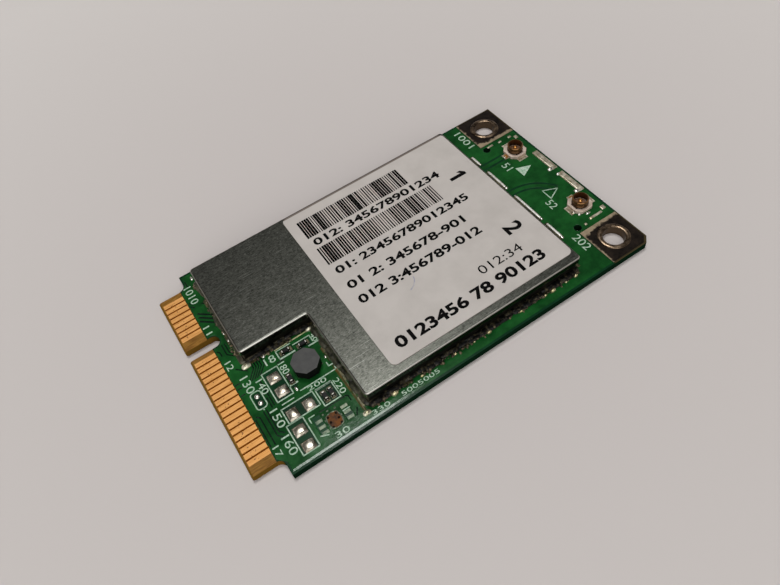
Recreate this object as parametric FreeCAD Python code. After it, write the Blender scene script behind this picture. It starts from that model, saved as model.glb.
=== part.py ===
import FreeCAD, Part
import math
import os

# Full-size mini card radio module, in millimetres.
# X runs from the contact edge to the antenna end, Y across the card, Z up from the underside.

Vector = FreeCAD.Vector
up = Vector(0, 0, 1)
tolerance = 1e-6

# Circuit board
board_length = 50.95
board_thickness = 1.0
shoulder_width = 2.15
corner_chamfer = 0.75
land_thickness = 0.05

# Edge contacts: a short and a long row on each face, either side of the key notch
contact_pitch = 0.8
contact_width = 0.6
contact_setback = 0.3
short_row_count = 8
long_row_count = 18
short_row_gap = 2.35
long_row_gap = 1.65
lower_row_shift = 0.4

# Contact tongue
tongue_length = 3.5
tongue_side_margin = 0.75
tongue_root_radius = 0.8
tongue_bevel = 0.2
bare_length = 2.8
key_width = 1.5
key_depth = 4.0

# Plated mounting holes and the small tooling holes beside them
hole_radius = 1.3
hole_inset = 2.9
plating = 0.05
pad_size = 5.4
pad_edge_margin = 0.2
tooling_radius = 0.45
tooling_gap = 0.35
tooling_setback = 2.3

# Shield: a frame soldered to the board and a cover pushed over it
shield_height = 2.35
shield_from_contacts = 5.0
shield_from_antenna_end = 9.25
shield_side_margin = 1.8
cutout_length = 8.4
cutout_width = 12.3
sheet = 0.2
cover_clearance = 0.05
skirt_depth = 0.8
bend_radius = 0.25
corner_radius = 0.45
rim_width = 0.8

# Feet of the frame, and the lands and solder under them
foot_length = 1.3
foot_gap_height = 0.35
near_foot_count = 6
far_foot_count = 8
left_foot_count = 3
cutout_foot_count = 1
cutout_side_foot_count = 2
antenna_foot_spans = [(-8.75, -5.75), (-5.1, -0.1), (1.5, 5.4), (6.85, 8.8)]
foot_land_reach = 0.7
antenna_land_reach = 2.1
foot_land_tuck = 0.4
solder_rise = 0.32
solder_reach = 0.36

# Label on the cover
label_thickness = 0.1
label_radius = 0.7
label_from_cutout = 4.0
label_antenna_margin = 0.3
label_near_margin = 1.0
label_far_margin = 0.35

# Coaxial antenna sockets
socket_inset = 2.6
socket_from_hole = 6.05
socket_base_size = 2.6
socket_base_chamfer = 0.55
socket_base_height = 0.35
socket_height = 1.25
socket_outer_radius = 1.0
socket_wall = 0.16
socket_groove_depth = 0.08
socket_groove_height = 0.3
socket_pin_radius = 0.25
socket_pin_drop = 0.3
socket_leg_width = 1.0
socket_leg_thickness = 0.12
socket_leg_reach = 0.35
socket_land_margin = 0.2
socket_fit = 0.02
socket_turns = {"far": 0, "near": -90}

# Bare ground strips at the antenna end
strip_length = 4.0
strip_width = 0.7
strip_gap = 0.85
strip_setback = 0.35

# Eight-sided power inductor in the cut-out
inductor_from_contacts = 10.5
inductor_from_cutout = 4.5
inductor_size = 3.0
inductor_height = 1.4
inductor_bore_radius = 1.15
inductor_flange_radius = 1.1
inductor_recess = 0.05
inductor_flange_height = 0.28
inductor_waist_radius = 0.5
inductor_winding_radius = 0.95
inductor_winding_gap = 0.02
inductor_terminal_thickness = 0.12
inductor_terminal_width = 1.4
inductor_terminal_gap = 0.9

# Chip resistors and capacitors
chip_length = 1.0
chip_width = 0.5
chip_cap_length = 0.22
chip_cap_skin = 0.02
resistor_height = 0.35
capacitor_height = 0.5
chip_land_length = 0.5
chip_land_margin = 0.05

# Chip resistors that show, in the cut-out
row_from_cutout = 1.72
row_first_from_side = 2.0
row_pitch = 1.97
row_step = 0.37
row_count = 2
lone_resistor_from_contacts = 8.25
lone_resistor_from_near_edge = 9.4
pair_from_contacts = 10.3
pair_from_near_edge = 5.4
pair_pitch = 0.78

# Capacitor lands with domed solder and no capacitor, as pairs in the cut-out
spare_land_length = 1.45
spare_land_width = 1.3
spare_land_height = 0.22
spare_land_slope = 0.15
spare_land_pitch = 1.92
spare_pairs = [(6.3, 2.7, "across"), (7.52, 5.65, "along"), (6.85, 9.65, "across")]

# Resistor lands with no resistor
dot_from_contacts = 4.35
dot_from_near_edge = 9.27
dot_pitch = 0.9
dot_radius = 0.3
dot_height = 0.1

# Footprint of a regulator that is not fitted
bare_land_from_contacts = 9.85
bare_land_from_near_edge = 2.6
bare_land_length = 1.7
bare_land_width = 2.0
small_land_count = 3
small_land_pitch = 0.7
small_land_length = 0.75
small_land_width = 0.35
small_land_gap = 0.25

# Flat packages under the shield
wireless_chip_size = 9.0
wireless_chip_height = 1.0
wireless_land_margin = 1.5
amplifier_size = 3.0
amplifier_height = 0.85
amplifier_land_margin = 0.5
amplifier_from_antenna_wall = 6.5
filter_length = 2.0
filter_width = 1.25
filter_height = 0.75
filter_from_antenna_wall = 3.2
filter_land_margin = 0.1
switch_size = 2.0
switch_height = 0.6
switch_land_margin = 0.4
switch_from_antenna_wall = 3.5

# Crystal under the shield
crystal_length = 3.2
crystal_width = 2.5
crystal_base_height = 0.35
crystal_lid_height = 0.3
crystal_lid_inset = 0.2
crystal_land_margin = 0.3
crystal_from_left_wall = 4.4
crystal_from_far_wall = 4.0

# Packages with bent leads under the shield
memory_length = 3.0
memory_width = 3.0
memory_lead_pitch = 0.65
memory_lead_count = 4
memory_from_left_wall = 4.4
memory_from_cutout = 3.6
regulator_length = 2.9
regulator_width = 1.6
regulator_lead_pitch = 0.95
regulator_lead_count = 3
regulator_from_cutout_side = 4.0
regulator_from_near_wall = 4.0
package_height = 0.9
package_stand = 0.12
package_edge = 0.12
lead_width = 0.3
lead_thickness = 0.15
lead_reach = 0.75
lead_foot = 0.4

# Capacitors round the wireless chip
decoupling_gap = 1.1
decoupling_count = 4
decoupling_pitch = 1.8

# Round test lands on the underside
test_land_radius = 0.5
test_land_pitch_x = 5.6
test_land_pitch_y = 8.4
test_land_count_x = 3
test_land_count_y = 2

# Places worked out from the sizes above
row_end_margin = contact_width / 2 + tongue_side_margin
tongue_short = short_row_gap + (short_row_count - 1) * contact_pitch + row_end_margin
tongue_long = long_row_gap + lower_row_shift + (long_row_count - 1) * contact_pitch + row_end_margin
tongue_width = tongue_short + tongue_long
key_y = tongue_width / 2 - tongue_short
board_width = tongue_width + 2 * shoulder_width
contact_edge = -board_length / 2
antenna_edge = board_length / 2
near_edge = -board_width / 2
far_edge = board_width / 2
board_top = board_thickness
land_top = board_top + land_thickness
hole_x = antenna_edge - hole_inset
hole_y = far_edge - hole_inset

shield_left = contact_edge + shield_from_contacts
shield_right = antenna_edge - shield_from_antenna_end
shield_near = near_edge + shield_side_margin
shield_far = far_edge - shield_side_margin
cutout_x = shield_left + cutout_length
cutout_y = shield_near + cutout_width
shield_top = board_top + shield_height
frame_inset = sheet + cover_clearance
frame_top = shield_top - sheet

socket_x = antenna_edge - socket_inset
socket_y = hole_y - socket_from_hole


def block(x, y, base, length, width, height):
    # a box centred in plan on x, y and standing on base
    return Part.makeBox(length, width, height, Vector(x - length / 2, y - width / 2, base))


def span(x1, x2, y1, y2, z1, z2):
    # a box between two opposite corners
    return Part.makeBox(x2 - x1, y2 - y1, z2 - z1, Vector(x1, y1, z1))


def rod(x, y, base, radius, height):
    return Part.makeCylinder(radius, height, Vector(x, y, base), up)


def prism(points, base, height):
    corners = [Vector(x, y, base) for x, y in points]
    return Part.Face(Part.makePolygon(corners + corners[:1])).extrude(up * height)


def cut_square(x, y, size, chamfer):
    # the outline of a square with its corners cut off
    half = size / 2
    flat = half - chamfer
    outline = []
    for dx, dy in ((1, 1), (-1, 1), (-1, -1), (1, -1)):
        ends = [(x + dx * half, y + dy * flat), (x + dx * flat, y + dy * half)]
        outline += ends if dx * dy > 0 else ends[::-1]
    return outline


def turned(profile, x, y):
    # a solid of revolution about an upright axis, from radius and height pairs
    corners = [Vector(x + radius, y, z) for radius, z in profile]
    face = Part.Face(Part.makePolygon(corners + corners[:1]))
    return face.revolve(Vector(x, y, 0), up, 360)


def upright_edges(shape, places):
    # the upright edges of a shape that stand on the given places
    found = []
    for edge in shape.Edges:
        box = edge.BoundBox
        upright = box.XLength < tolerance and box.YLength < tolerance
        if upright and any(math.hypot(box.XMin - x, box.YMin - y) < tolerance for x, y in places):
            found.append(edge)
    return found


def level_edges(shape, height):
    # the edges of a shape that lie at one height
    found = []
    for edge in shape.Edges:
        box = edge.BoundBox
        if abs(box.ZMin - height) < tolerance and abs(box.ZMax - height) < tolerance:
            found.append(edge)
    return found


def save(name, shapes):
    # one file for each node; a node of like pieces is a group of separate solids
    solids = [solid for shape in shapes for solid in shape.Solids]
    shape = solids[0] if len(solids) == 1 else Part.makeCompound(solids)
    shape.exportStep(os.path.join("parts", name + ".step"))


def hole_places():
    return [(hole_x, side * hole_y) for side in (1, -1)]


def tooling_places():
    offset = pad_size / 2 + tooling_gap + tooling_radius
    return [(hole_x - tooling_setback, side * (hole_y - offset)) for side in (1, -1)]


def test_land_places():
    # a grid of test lands under the middle of the shield
    middle = (cutout_x + shield_right) / 2
    places = []
    for i in range(test_land_count_x):
        for j in range(test_land_count_y):
            x = middle + (i - (test_land_count_x - 1) / 2) * test_land_pitch_x
            y = (j - (test_land_count_y - 1) / 2) * test_land_pitch_y
            places.append((x, y))
    return places


def tongue_bevel_cut(z, inward):
    # the wedge taken off one front edge of the tongue
    corners = [
        Vector(contact_edge, near_edge, z),
        Vector(contact_edge + tongue_bevel, near_edge, z),
        Vector(contact_edge, near_edge, z + inward * tongue_bevel),
    ]
    face = Part.Face(Part.makePolygon(corners + corners[:1]))
    return face.extrude(Vector(0, board_width, 0))


def board_body(inset, base, height):
    # the board without its tongue, drawn in by inset, with one corner cut off
    shoulder = contact_edge + tongue_length + inset
    near = near_edge + inset
    far = far_edge - inset
    end = antenna_edge - inset
    outline = [
        (shoulder, near),
        (end - corner_chamfer, near),
        (end, near + corner_chamfer),
        (end, far),
        (shoulder, far),
    ]
    return prism(outline, base, height)


def make_board():
    shoulder = contact_edge + tongue_length
    half_tongue = tongue_width / 2
    tongue = span(contact_edge, shoulder, -half_tongue, half_tongue, 0, board_thickness)
    board = board_body(0, 0, board_thickness).fuse(tongue).removeSplitter()
    roots = upright_edges(board, [(shoulder, half_tongue), (shoulder, -half_tongue)])
    board = board.makeFillet(min(tongue_root_radius, shoulder_width / 2), roots)

    # key notch with a round end
    notch_end = contact_edge + key_depth - key_width / 2
    notch = span(contact_edge, notch_end, key_y - key_width / 2, key_y + key_width / 2, 0, board_thickness)
    cuts = [notch, rod(notch_end, key_y, 0, key_width / 2, board_thickness)]

    # bare laminate on both faces of the tongue, lower than the lacquered faces
    skin_low = board_top - land_thickness
    bare_end = contact_edge + bare_length
    cuts.append(span(contact_edge, bare_end, near_edge, far_edge, skin_low, board_top))
    cuts.append(span(contact_edge, bare_end, near_edge, far_edge, 0, land_thickness))
    cuts.append(tongue_bevel_cut(skin_low, -1))
    cuts.append(tongue_bevel_cut(land_thickness, 1))

    # plated holes with a shallow seat for the lower land, and tooling holes
    for x, y in hole_places():
        cuts.append(rod(x, y, 0, hole_radius + plating, board_thickness))
        cuts.append(pad_land(x, y, 0))
    for x, y in tooling_places():
        cuts.append(rod(x, y, 0, tooling_radius, board_thickness))
    for x, y in test_land_places():
        cuts.append(rod(x, y, 0, test_land_radius, land_thickness))
    return board.cut(cuts)


def contact_row(first_y, step, count, base):
    length = bare_length - contact_setback
    x = contact_edge + contact_setback + length / 2
    return [block(x, first_y + i * step, base, length, contact_width, land_thickness) for i in range(count)]


def make_contacts():
    skin_low = board_top - land_thickness
    upper = contact_row(key_y + short_row_gap, contact_pitch, short_row_count, skin_low)
    upper += contact_row(key_y - long_row_gap, -contact_pitch, long_row_count, skin_low)
    lower = contact_row(key_y + short_row_gap - lower_row_shift, contact_pitch, short_row_count, 0)
    lower += contact_row(key_y - long_row_gap - lower_row_shift, -contact_pitch, long_row_count, 0)
    return upper, lower


def pad_land(x, y, base):
    # a square land, trimmed where it would come too near the edge of the board
    return block(x, y, base, pad_size, pad_size, land_thickness).common(
        board_body(pad_edge_margin, base, land_thickness))


def make_mounting_pad(x, y):
    # a land on each face, joined by the plated wall of the hole
    barrel = rod(x, y, 0, hole_radius + plating, land_top)
    pad = pad_land(x, y, board_top).fuse([pad_land(x, y, 0), barrel])
    return pad.cut(rod(x, y, 0, hole_radius, land_top)).removeSplitter()


def shield_body(inset, base, top, outer_radius):
    # the shield's L outline, drawn in by inset, with rounded upright corners
    left = shield_left + inset
    right = shield_right - inset
    near = shield_near + inset
    far = shield_far - inset
    inner_corner = (cutout_x + inset, cutout_y + inset)
    outer_corners = [
        (left, far),
        (right, far),
        (right, near),
        (inner_corner[0], near),
        (left, inner_corner[1]),
    ]
    outline = outer_corners[:4] + [inner_corner] + outer_corners[4:]
    body = prism(outline, base, top - base)
    if outer_radius > 0:
        body = body.makeFillet(outer_radius, upright_edges(body, outer_corners))
        body = body.makeFillet(bend_radius, upright_edges(body, [inner_corner]))
    return body


def make_cover():
    outer = shield_body(0, shield_top - skirt_depth, shield_top, corner_radius)
    outer = outer.makeFillet(bend_radius, level_edges(outer, shield_top))
    hollow = shield_body(sheet, shield_top - skirt_depth, shield_top - sheet, corner_radius - sheet)
    return outer.cut(hollow)


def spread_feet(start, end, count):
    # feet spaced evenly along a wall, with one at each end
    clear = end - start - 2 * foot_length - count * foot_length
    gap = clear / (count + 1)
    return [(start + i * (foot_length + gap), start + i * (foot_length + gap) + foot_length)
            for i in range(count + 2)]


def frame_walls():
    # each wall: runs along X or not, its outer face, its outward sign, its feet, the reach of its lands
    left = shield_left + frame_inset
    right = shield_right - frame_inset
    near = shield_near + frame_inset
    far = shield_far - frame_inset
    side = cutout_x + frame_inset
    step = cutout_y + frame_inset
    return [
        (True, near, -1, spread_feet(side, right, near_foot_count), foot_land_reach),
        (True, far, 1, spread_feet(left, right, far_foot_count), foot_land_reach),
        (False, left, -1, spread_feet(step, far, left_foot_count), foot_land_reach),
        (True, step, -1, spread_feet(left, side, cutout_foot_count), foot_land_reach),
        (False, side, -1, spread_feet(near, step, cutout_side_foot_count), foot_land_reach),
        (False, right, 1, antenna_feet(near, far), antenna_land_reach),
    ]


def antenna_feet(near, far):
    return [(near, near + foot_length)] + antenna_foot_spans + [(far - foot_length, far)]


def wall_block(along_x, face, outward, run, inside, outside, low, high):
    # a box that runs along a wall, from inside its outer face to outside it
    across = sorted([face - outward * inside, face + outward * outside])
    if along_x:
        return span(run[0], run[1], across[0], across[1], low, high)
    return span(across[0], across[1], run[0], run[1], low, high)


def wall_wedge(along_x, face, outward, start, end):
    # a fillet of solder between a land and the foot of a wall
    profile = [(0, 0), (solder_reach, 0), (0, solder_rise)]
    if along_x:
        corners = [Vector(start, face + outward * reach, land_top + rise) for reach, rise in profile]
        sweep = Vector(end - start, 0, 0)
    else:
        corners = [Vector(face + outward * reach, start, land_top + rise) for reach, rise in profile]
        sweep = Vector(0, end - start, 0)
    return Part.Face(Part.makePolygon(corners + corners[:1])).extrude(sweep)


def make_frame():
    # a folded wall with an inward rim on top and gaps between its feet
    frame = shield_body(frame_inset, land_top, frame_top, corner_radius - sheet)
    cavity = shield_body(frame_inset + sheet, land_top, frame_top - sheet, 0)
    window = shield_body(frame_inset + rim_width, land_top, frame_top, 0)
    cuts = [cavity, window]
    for along_x, face, outward, feet, reach in frame_walls():
        for foot, next_foot in zip(feet, feet[1:]):
            gap = (foot[1], next_foot[0])
            gap_top = land_top + foot_gap_height
            cuts.append(wall_block(along_x, face, outward, gap, sheet, 0, land_top, gap_top))
    return frame.cut(cuts)


def make_frame_lands():
    # tinned lands under the feet, joined where two walls meet
    lands = []
    for along_x, face, outward, feet, reach in frame_walls():
        for foot in feet:
            out = foot_land_reach if foot in (feet[0], feet[-1]) else reach
            lands.append(wall_block(along_x, face, outward, foot, foot_land_tuck, out, board_top, land_top))
    return lands[0].fuse(lands[1:]).removeSplitter()


def make_frame_solder():
    # solder on every foot but the last of each wall, so that none meet in the inner corner
    solder = []
    for along_x, face, outward, feet, reach in frame_walls():
        for start, end in feet[:-1]:
            solder.append(wall_wedge(along_x, face, outward, start, end))
    return solder


def make_label():
    left = cutout_x + label_from_cutout
    right = shield_right - label_antenna_margin
    near = shield_near + label_near_margin
    far = shield_far - label_far_margin
    label = span(left, right, near, far, shield_top, shield_top + label_thickness)
    corners = [(left, near), (right, near), (right, far), (left, far)]
    return label.makeFillet(label_radius, upright_edges(label, corners))


def make_socket(y):
    # moulded base, round outer contact with two legs, and centre pin with a leg towards the shield
    half = socket_base_size / 2
    outline = cut_square(socket_x, y, socket_base_size, socket_base_chamfer)
    base = prism(outline, land_top, socket_base_height)

    inner = socket_outer_radius - socket_wall
    waist = socket_outer_radius - socket_groove_depth
    floor = land_top + socket_base_height
    top = land_top + socket_height
    groove_low = (floor + top - socket_groove_height) / 2
    groove_high = groove_low + socket_groove_height
    shell = turned([
        (inner, floor),
        (socket_outer_radius, floor),
        (socket_outer_radius, groove_low - socket_groove_depth),
        (waist, groove_low),
        (waist, groove_high),
        (socket_outer_radius, groove_high + socket_groove_depth),
        (socket_outer_radius, top - socket_groove_depth),
        (socket_outer_radius - socket_groove_depth, top),
        (inner, top),
    ], socket_x, y)

    reach = half + socket_leg_reach
    slots = []
    for side in (1, -1):
        web = sorted([y + side * inner, y + side * socket_outer_radius])
        toe = sorted([y + side * inner, y + side * reach])
        x1 = socket_x - socket_leg_width / 2
        x2 = socket_x + socket_leg_width / 2
        leg_top = land_top + socket_leg_thickness
        shell = shell.fuse(span(x1, x2, web[0], web[1], land_top, floor))
        shell = shell.fuse(span(x1, x2, toe[0], toe[1], land_top, leg_top))
        slots.append(span(x1 - socket_fit, x2 + socket_fit, web[0], web[1], land_top, floor))
        slots.append(span(x1 - socket_fit, x2 + socket_fit, toe[0], toe[1], land_top, leg_top + socket_fit))
    shell = shell.removeSplitter()

    pin_top = top - socket_pin_drop
    pin = turned([
        (0, land_top),
        (socket_pin_radius, land_top),
        (socket_pin_radius, pin_top - socket_pin_radius / 2),
        (socket_pin_radius / 2, pin_top),
        (0, pin_top),
    ], socket_x, y)
    leg_x = socket_x - reach / 2
    leg = block(leg_x, y, land_top, reach, 2 * socket_pin_radius, socket_leg_thickness)
    pin = pin.fuse(leg).removeSplitter()
    slot_radius = socket_pin_radius + socket_fit
    slots.append(rod(socket_x, y, land_top, slot_radius, socket_base_height))
    slots.append(block(leg_x, y, land_top, reach, 2 * slot_radius, socket_leg_thickness + socket_fit))
    return base.cut(slots), shell, pin


def make_socket_lands(y):
    # one land under each leg
    heel = (socket_base_size - socket_leg_width) / 2
    toe = socket_base_size / 2 + socket_leg_reach + socket_land_margin
    width = socket_leg_width + 2 * socket_land_margin
    ground = block(socket_x, y, board_top, width, 2 * toe, land_thickness)
    ground = ground.cut(block(socket_x, y, board_top, width, 2 * heel, land_thickness))
    half_width = socket_pin_radius + socket_land_margin
    signal = span(socket_x - toe, socket_x - heel, y - half_width, y + half_width, board_top, land_top)
    return [ground, signal]


def make_strips():
    # two bare ground strips beside the antenna edge
    x2 = antenna_edge - strip_setback
    strips = []
    for side in (1, -1):
        y = sorted([side * strip_gap / 2, side * (strip_gap / 2 + strip_length)])
        strips.append(span(x2 - strip_width, x2, y[0], y[1], board_top, land_top))
    return strips


def make_inductor():
    # ferrite sleeve, drum core with its winding, and a flat terminal under each end
    x = contact_edge + inductor_from_contacts
    y = cutout_y - inductor_from_cutout
    base = land_top + inductor_terminal_thickness
    top = board_top + inductor_height
    octagon_chamfer = inductor_size / (2 + math.sqrt(2))
    sleeve = prism(cut_square(x, y, inductor_size, octagon_chamfer), base, top - base)
    sleeve = sleeve.cut(rod(x, y, base, inductor_bore_radius, top - base))
    core_top = top - inductor_recess
    lower = base + inductor_flange_height
    upper = core_top - inductor_flange_height
    core = turned([
        (0, base),
        (inductor_flange_radius, base),
        (inductor_flange_radius, lower),
        (inductor_waist_radius, lower),
        (inductor_waist_radius, upper),
        (inductor_flange_radius, upper),
        (inductor_flange_radius, core_top),
        (0, core_top),
    ], x, y)
    winding = turned([
        (inductor_waist_radius + inductor_winding_gap, lower + inductor_winding_gap),
        (inductor_winding_radius, lower + inductor_winding_gap),
        (inductor_winding_radius, upper - inductor_winding_gap),
        (inductor_waist_radius + inductor_winding_gap, upper - inductor_winding_gap),
    ], x, y)
    terminals = []
    lands = []
    for side in (1, -1):
        ends = sorted([x + side * inductor_terminal_gap / 2, x + side * inductor_size / 2])
        half_width = inductor_terminal_width / 2
        terminals.append(span(ends[0], ends[1], y - half_width, y + half_width, land_top, base))
        lands.append(span(ends[0], ends[1], y - half_width, y + half_width, board_top, land_top))
    return sleeve, core, winding, terminals, lands


def laid(x, y, along_x, base, length, width, height):
    # a block whose length lies along X or along Y
    if along_x:
        return block(x, y, base, length, width, height)
    return block(x, y, base, width, length, height)


def make_chip(x, y, along_x, height):
    # ceramic body between two metal ends, on two lands
    inner = chip_length - 2 * chip_cap_length
    slim = chip_width - 2 * chip_cap_skin
    body = laid(x, y, along_x, land_top + chip_cap_skin, inner, slim, height - 2 * chip_cap_skin)
    ends = []
    lands = []
    for side in (1, -1):
        cap = side * (chip_length - chip_cap_length) / 2
        toe = side * chip_length / 2
        cap_x, cap_y = (x + cap, y) if along_x else (x, y + cap)
        toe_x, toe_y = (x + toe, y) if along_x else (x, y + toe)
        land_width = chip_width + 2 * chip_land_margin
        ends.append(laid(cap_x, cap_y, along_x, land_top, chip_cap_length, chip_width, height))
        lands.append(laid(toe_x, toe_y, along_x, board_top, chip_land_length, land_width, land_thickness))
    return body, ends, lands


def open_resistors():
    # the resistors that show in the cut-out: a stepped row by the shield, one alone and a pair side by side
    chips = []
    for i in range(row_count):
        row_x = cutout_x - row_first_from_side - i * row_pitch
        row_y = cutout_y - row_from_cutout + i * row_step
        chips.append((row_x, row_y, True))
    lone_x = contact_edge + lone_resistor_from_contacts
    chips.append((lone_x, near_edge + lone_resistor_from_near_edge, False))
    for i in range(2):
        pair_x = contact_edge + pair_from_contacts + i * pair_pitch
        chips.append((pair_x, near_edge + pair_from_near_edge, False))
    return [make_chip(x, y, along_x, resistor_height) for x, y, along_x in chips]


def decoupling_capacitors(x, y):
    # capacitors on all four sides of the wireless chip
    offset = wireless_chip_size / 2 + decoupling_gap
    chips = []
    for i in range(decoupling_count):
        shift = (i - (decoupling_count - 1) / 2) * decoupling_pitch
        for side in (1, -1):
            chips.append(make_chip(x + shift, y + side * offset, False, capacitor_height))
            chips.append(make_chip(x + side * offset, y + shift, True, capacitor_height))
    return chips


def make_spare_lands():
    # capacitor lands under domed solder
    lands = []
    for from_contacts, from_near_edge, direction in spare_pairs:
        along_x = direction == "along"
        for side in (1, -1):
            shift = side * spare_land_pitch / 2
            x = contact_edge + from_contacts + (shift if along_x else 0)
            y = near_edge + from_near_edge + (0 if along_x else shift)
            land = laid(x, y, not along_x, board_top, spare_land_length, spare_land_width, spare_land_height)
            crown = level_edges(land, board_top + spare_land_height)
            lands.append(land.makeChamfer(spare_land_slope, crown))
    return lands


def make_dots():
    # two small lands under flat drops of solder
    x = contact_edge + dot_from_contacts
    y = near_edge + dot_from_near_edge
    dot_top = board_top + dot_height
    profile = [(0, board_top), (dot_radius, board_top), (dot_radius / 2, dot_top), (0, dot_top)]
    return [turned(profile, x, y + side * dot_pitch / 2) for side in (1, -1)]


def make_bare_land():
    # a copper land, and a row of small lands on either side of it
    x = contact_edge + bare_land_from_contacts
    y = near_edge + bare_land_from_near_edge
    land = block(x, y, board_top, bare_land_length, bare_land_width, land_thickness)
    offset = bare_land_length / 2 + small_land_gap + small_land_length / 2
    small = []
    for side in (1, -1):
        for i in range(small_land_count):
            small_x = x + side * offset
            small_y = y + (i - (small_land_count - 1) / 2) * small_land_pitch
            small.append(block(small_x, small_y, board_top, small_land_length, small_land_width,
                               land_thickness))
    return land, small


def make_flat_package(x, y, length, width, height, land_margin):
    # a flat package standing on one land
    body = block(x, y, land_top, length, width, height)
    land = block(x, y, board_top, length - 2 * land_margin, width - 2 * land_margin, land_thickness)
    return body, land


def make_crystal():
    # ceramic base with a smaller metal lid, on four corner lands
    x = shield_left + crystal_from_left_wall
    y = shield_far - crystal_from_far_wall
    base = block(x, y, land_top, crystal_length, crystal_width, crystal_base_height)
    lid_length = crystal_length - 2 * crystal_lid_inset
    lid_width = crystal_width - 2 * crystal_lid_inset
    lid = block(x, y, land_top + crystal_base_height, lid_length, lid_width, crystal_lid_height)
    land_length = crystal_length / 2 - crystal_land_margin
    land_width = crystal_width / 2 - crystal_land_margin
    lands = []
    for dx in (1, -1):
        for dy in (1, -1):
            land_x = x + dx * crystal_length / 4
            land_y = y + dy * crystal_width / 4
            lands.append(block(land_x, land_y, board_top, land_length, land_width, land_thickness))
    return base, lid, lands


def make_leaded_package(x, y, length, width, lead_pitch, lead_count):
    # a moulded body with bent leads along two sides
    floor = land_top + package_stand
    body = block(x, y, floor, length, width, package_height)
    body = body.makeChamfer(package_edge, level_edges(body, floor + package_height))
    middle = floor + (package_height - lead_thickness) / 2
    heel = lead_reach - lead_foot
    profile = [
        (0, middle),
        (0, middle + lead_thickness),
        (heel + lead_thickness, middle + lead_thickness),
        (heel + lead_thickness, land_top + lead_thickness),
        (lead_reach, land_top + lead_thickness),
        (lead_reach, land_top),
        (heel, land_top),
        (heel, middle),
    ]
    leads = []
    lands = []
    for side in (1, -1):
        for i in range(lead_count):
            lead_x = x + (i - (lead_count - 1) / 2) * lead_pitch
            corners = [Vector(lead_x - lead_width / 2, y + side * (width / 2 + d), z) for d, z in profile]
            face = Part.Face(Part.makePolygon(corners + corners[:1]))
            leads.append(face.extrude(Vector(lead_width, 0, 0)))
            land_y = y + side * (width / 2 + heel + lead_foot / 2)
            lands.append(block(lead_x, land_y, board_top, lead_width, lead_foot, land_thickness))
    return body, leads, lands


def make_test_lands():
    return [rod(x, y, 0, test_land_radius, land_thickness) for x, y in test_land_places()]


def save_board():
    upper_contacts, lower_contacts = make_contacts()
    save("circuit_board", [make_board()])
    save("edge_contacts_top", upper_contacts)
    save("edge_contacts_bottom", lower_contacts)
    for name, (x, y) in zip(("mounting_pad_far", "mounting_pad_near"), hole_places()):
        save(name, [make_mounting_pad(x, y)])
    save("ground_strips", make_strips())
    save("test_lands", make_test_lands())


def save_shield():
    save("shield_cover", [make_cover()])
    save("shield_frame", [make_frame()])
    save("shield_lands", [make_frame_lands()])
    save("shield_solder", make_frame_solder())
    save("label", [make_label()])


def save_sockets():
    # each socket is turned so that its pin's leg faces the way its track comes in
    lands = []
    for name, y in (("far", socket_y), ("near", -socket_y)):
        axis = Vector(socket_x, y, 0)
        base, shell, pin = [piece.rotated(axis, up, socket_turns[name]) for piece in make_socket(y)]
        save("socket_base_" + name, [base])
        save("socket_shell_" + name, [shell])
        save("socket_pin_" + name, [pin])
        lands += [land.rotated(axis, up, socket_turns[name]) for land in make_socket_lands(y)]
    save("socket_lands", lands)


def save_spare_lands():
    bare_land, small_lands = make_bare_land()
    save("spare_capacitor_lands", make_spare_lands())
    save("spare_resistor_lands", make_dots())
    save("spare_regulator_land", [bare_land])
    save("spare_regulator_pads", small_lands)


def save_inductor():
    # returns the lands, which share a node with those of the other components
    sleeve, core, winding, terminals, lands = make_inductor()
    save("inductor_sleeve", [sleeve])
    save("inductor_core", [core])
    save("inductor_winding", [winding])
    save("inductor_terminals", terminals)
    return lands


def save_chips(chip_x):
    resistors = open_resistors()
    capacitors = decoupling_capacitors(chip_x, 0)
    chips = resistors + capacitors
    save("resistor_bodies", [body for body, ends, lands in resistors])
    save("capacitor_bodies", [body for body, ends, lands in capacitors])
    save("chip_ends", [end for body, ends, lands in chips for end in ends])
    return [land for body, ends, lands in chips for land in lands]


def save_flat_packages(chip_x):
    chip_size = wireless_chip_size
    chip = make_flat_package(chip_x, 0, chip_size, chip_size, wireless_chip_height, wireless_land_margin)
    amplifiers = []
    filters = []
    for y in (socket_y, -socket_y):
        x = shield_right - amplifier_from_antenna_wall
        amplifiers.append(make_flat_package(
            x, y, amplifier_size, amplifier_size, amplifier_height, amplifier_land_margin))
        x = shield_right - filter_from_antenna_wall
        filters.append(make_flat_package(
            x, y, filter_length, filter_width, filter_height, filter_land_margin))
    x = shield_right - switch_from_antenna_wall
    switch = make_flat_package(x, 0, switch_size, switch_size, switch_height, switch_land_margin)
    save("wireless_chip", [chip[0]])
    save("power_amplifiers", [body for body, land in amplifiers])
    save("band_filters", [body for body, land in filters])
    save("antenna_switch", [switch[0]])
    return [land for body, land in [chip, switch] + amplifiers + filters]


def save_crystal():
    base, lid, lands = make_crystal()
    save("crystal_base", [base])
    save("crystal_lid", [lid])
    return lands


def save_leaded_packages():
    memory, memory_leads, memory_lands = make_leaded_package(
        shield_left + memory_from_left_wall, cutout_y + memory_from_cutout,
        memory_length, memory_width, memory_lead_pitch, memory_lead_count)
    regulator, regulator_leads, regulator_lands = make_leaded_package(
        cutout_x + regulator_from_cutout_side, shield_near + regulator_from_near_wall,
        regulator_length, regulator_width, regulator_lead_pitch, regulator_lead_count)
    save("memory_chip", [memory])
    save("memory_chip_leads", memory_leads)
    save("voltage_regulator", [regulator])
    save("voltage_regulator_leads", regulator_leads)
    return memory_lands + regulator_lands


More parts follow.
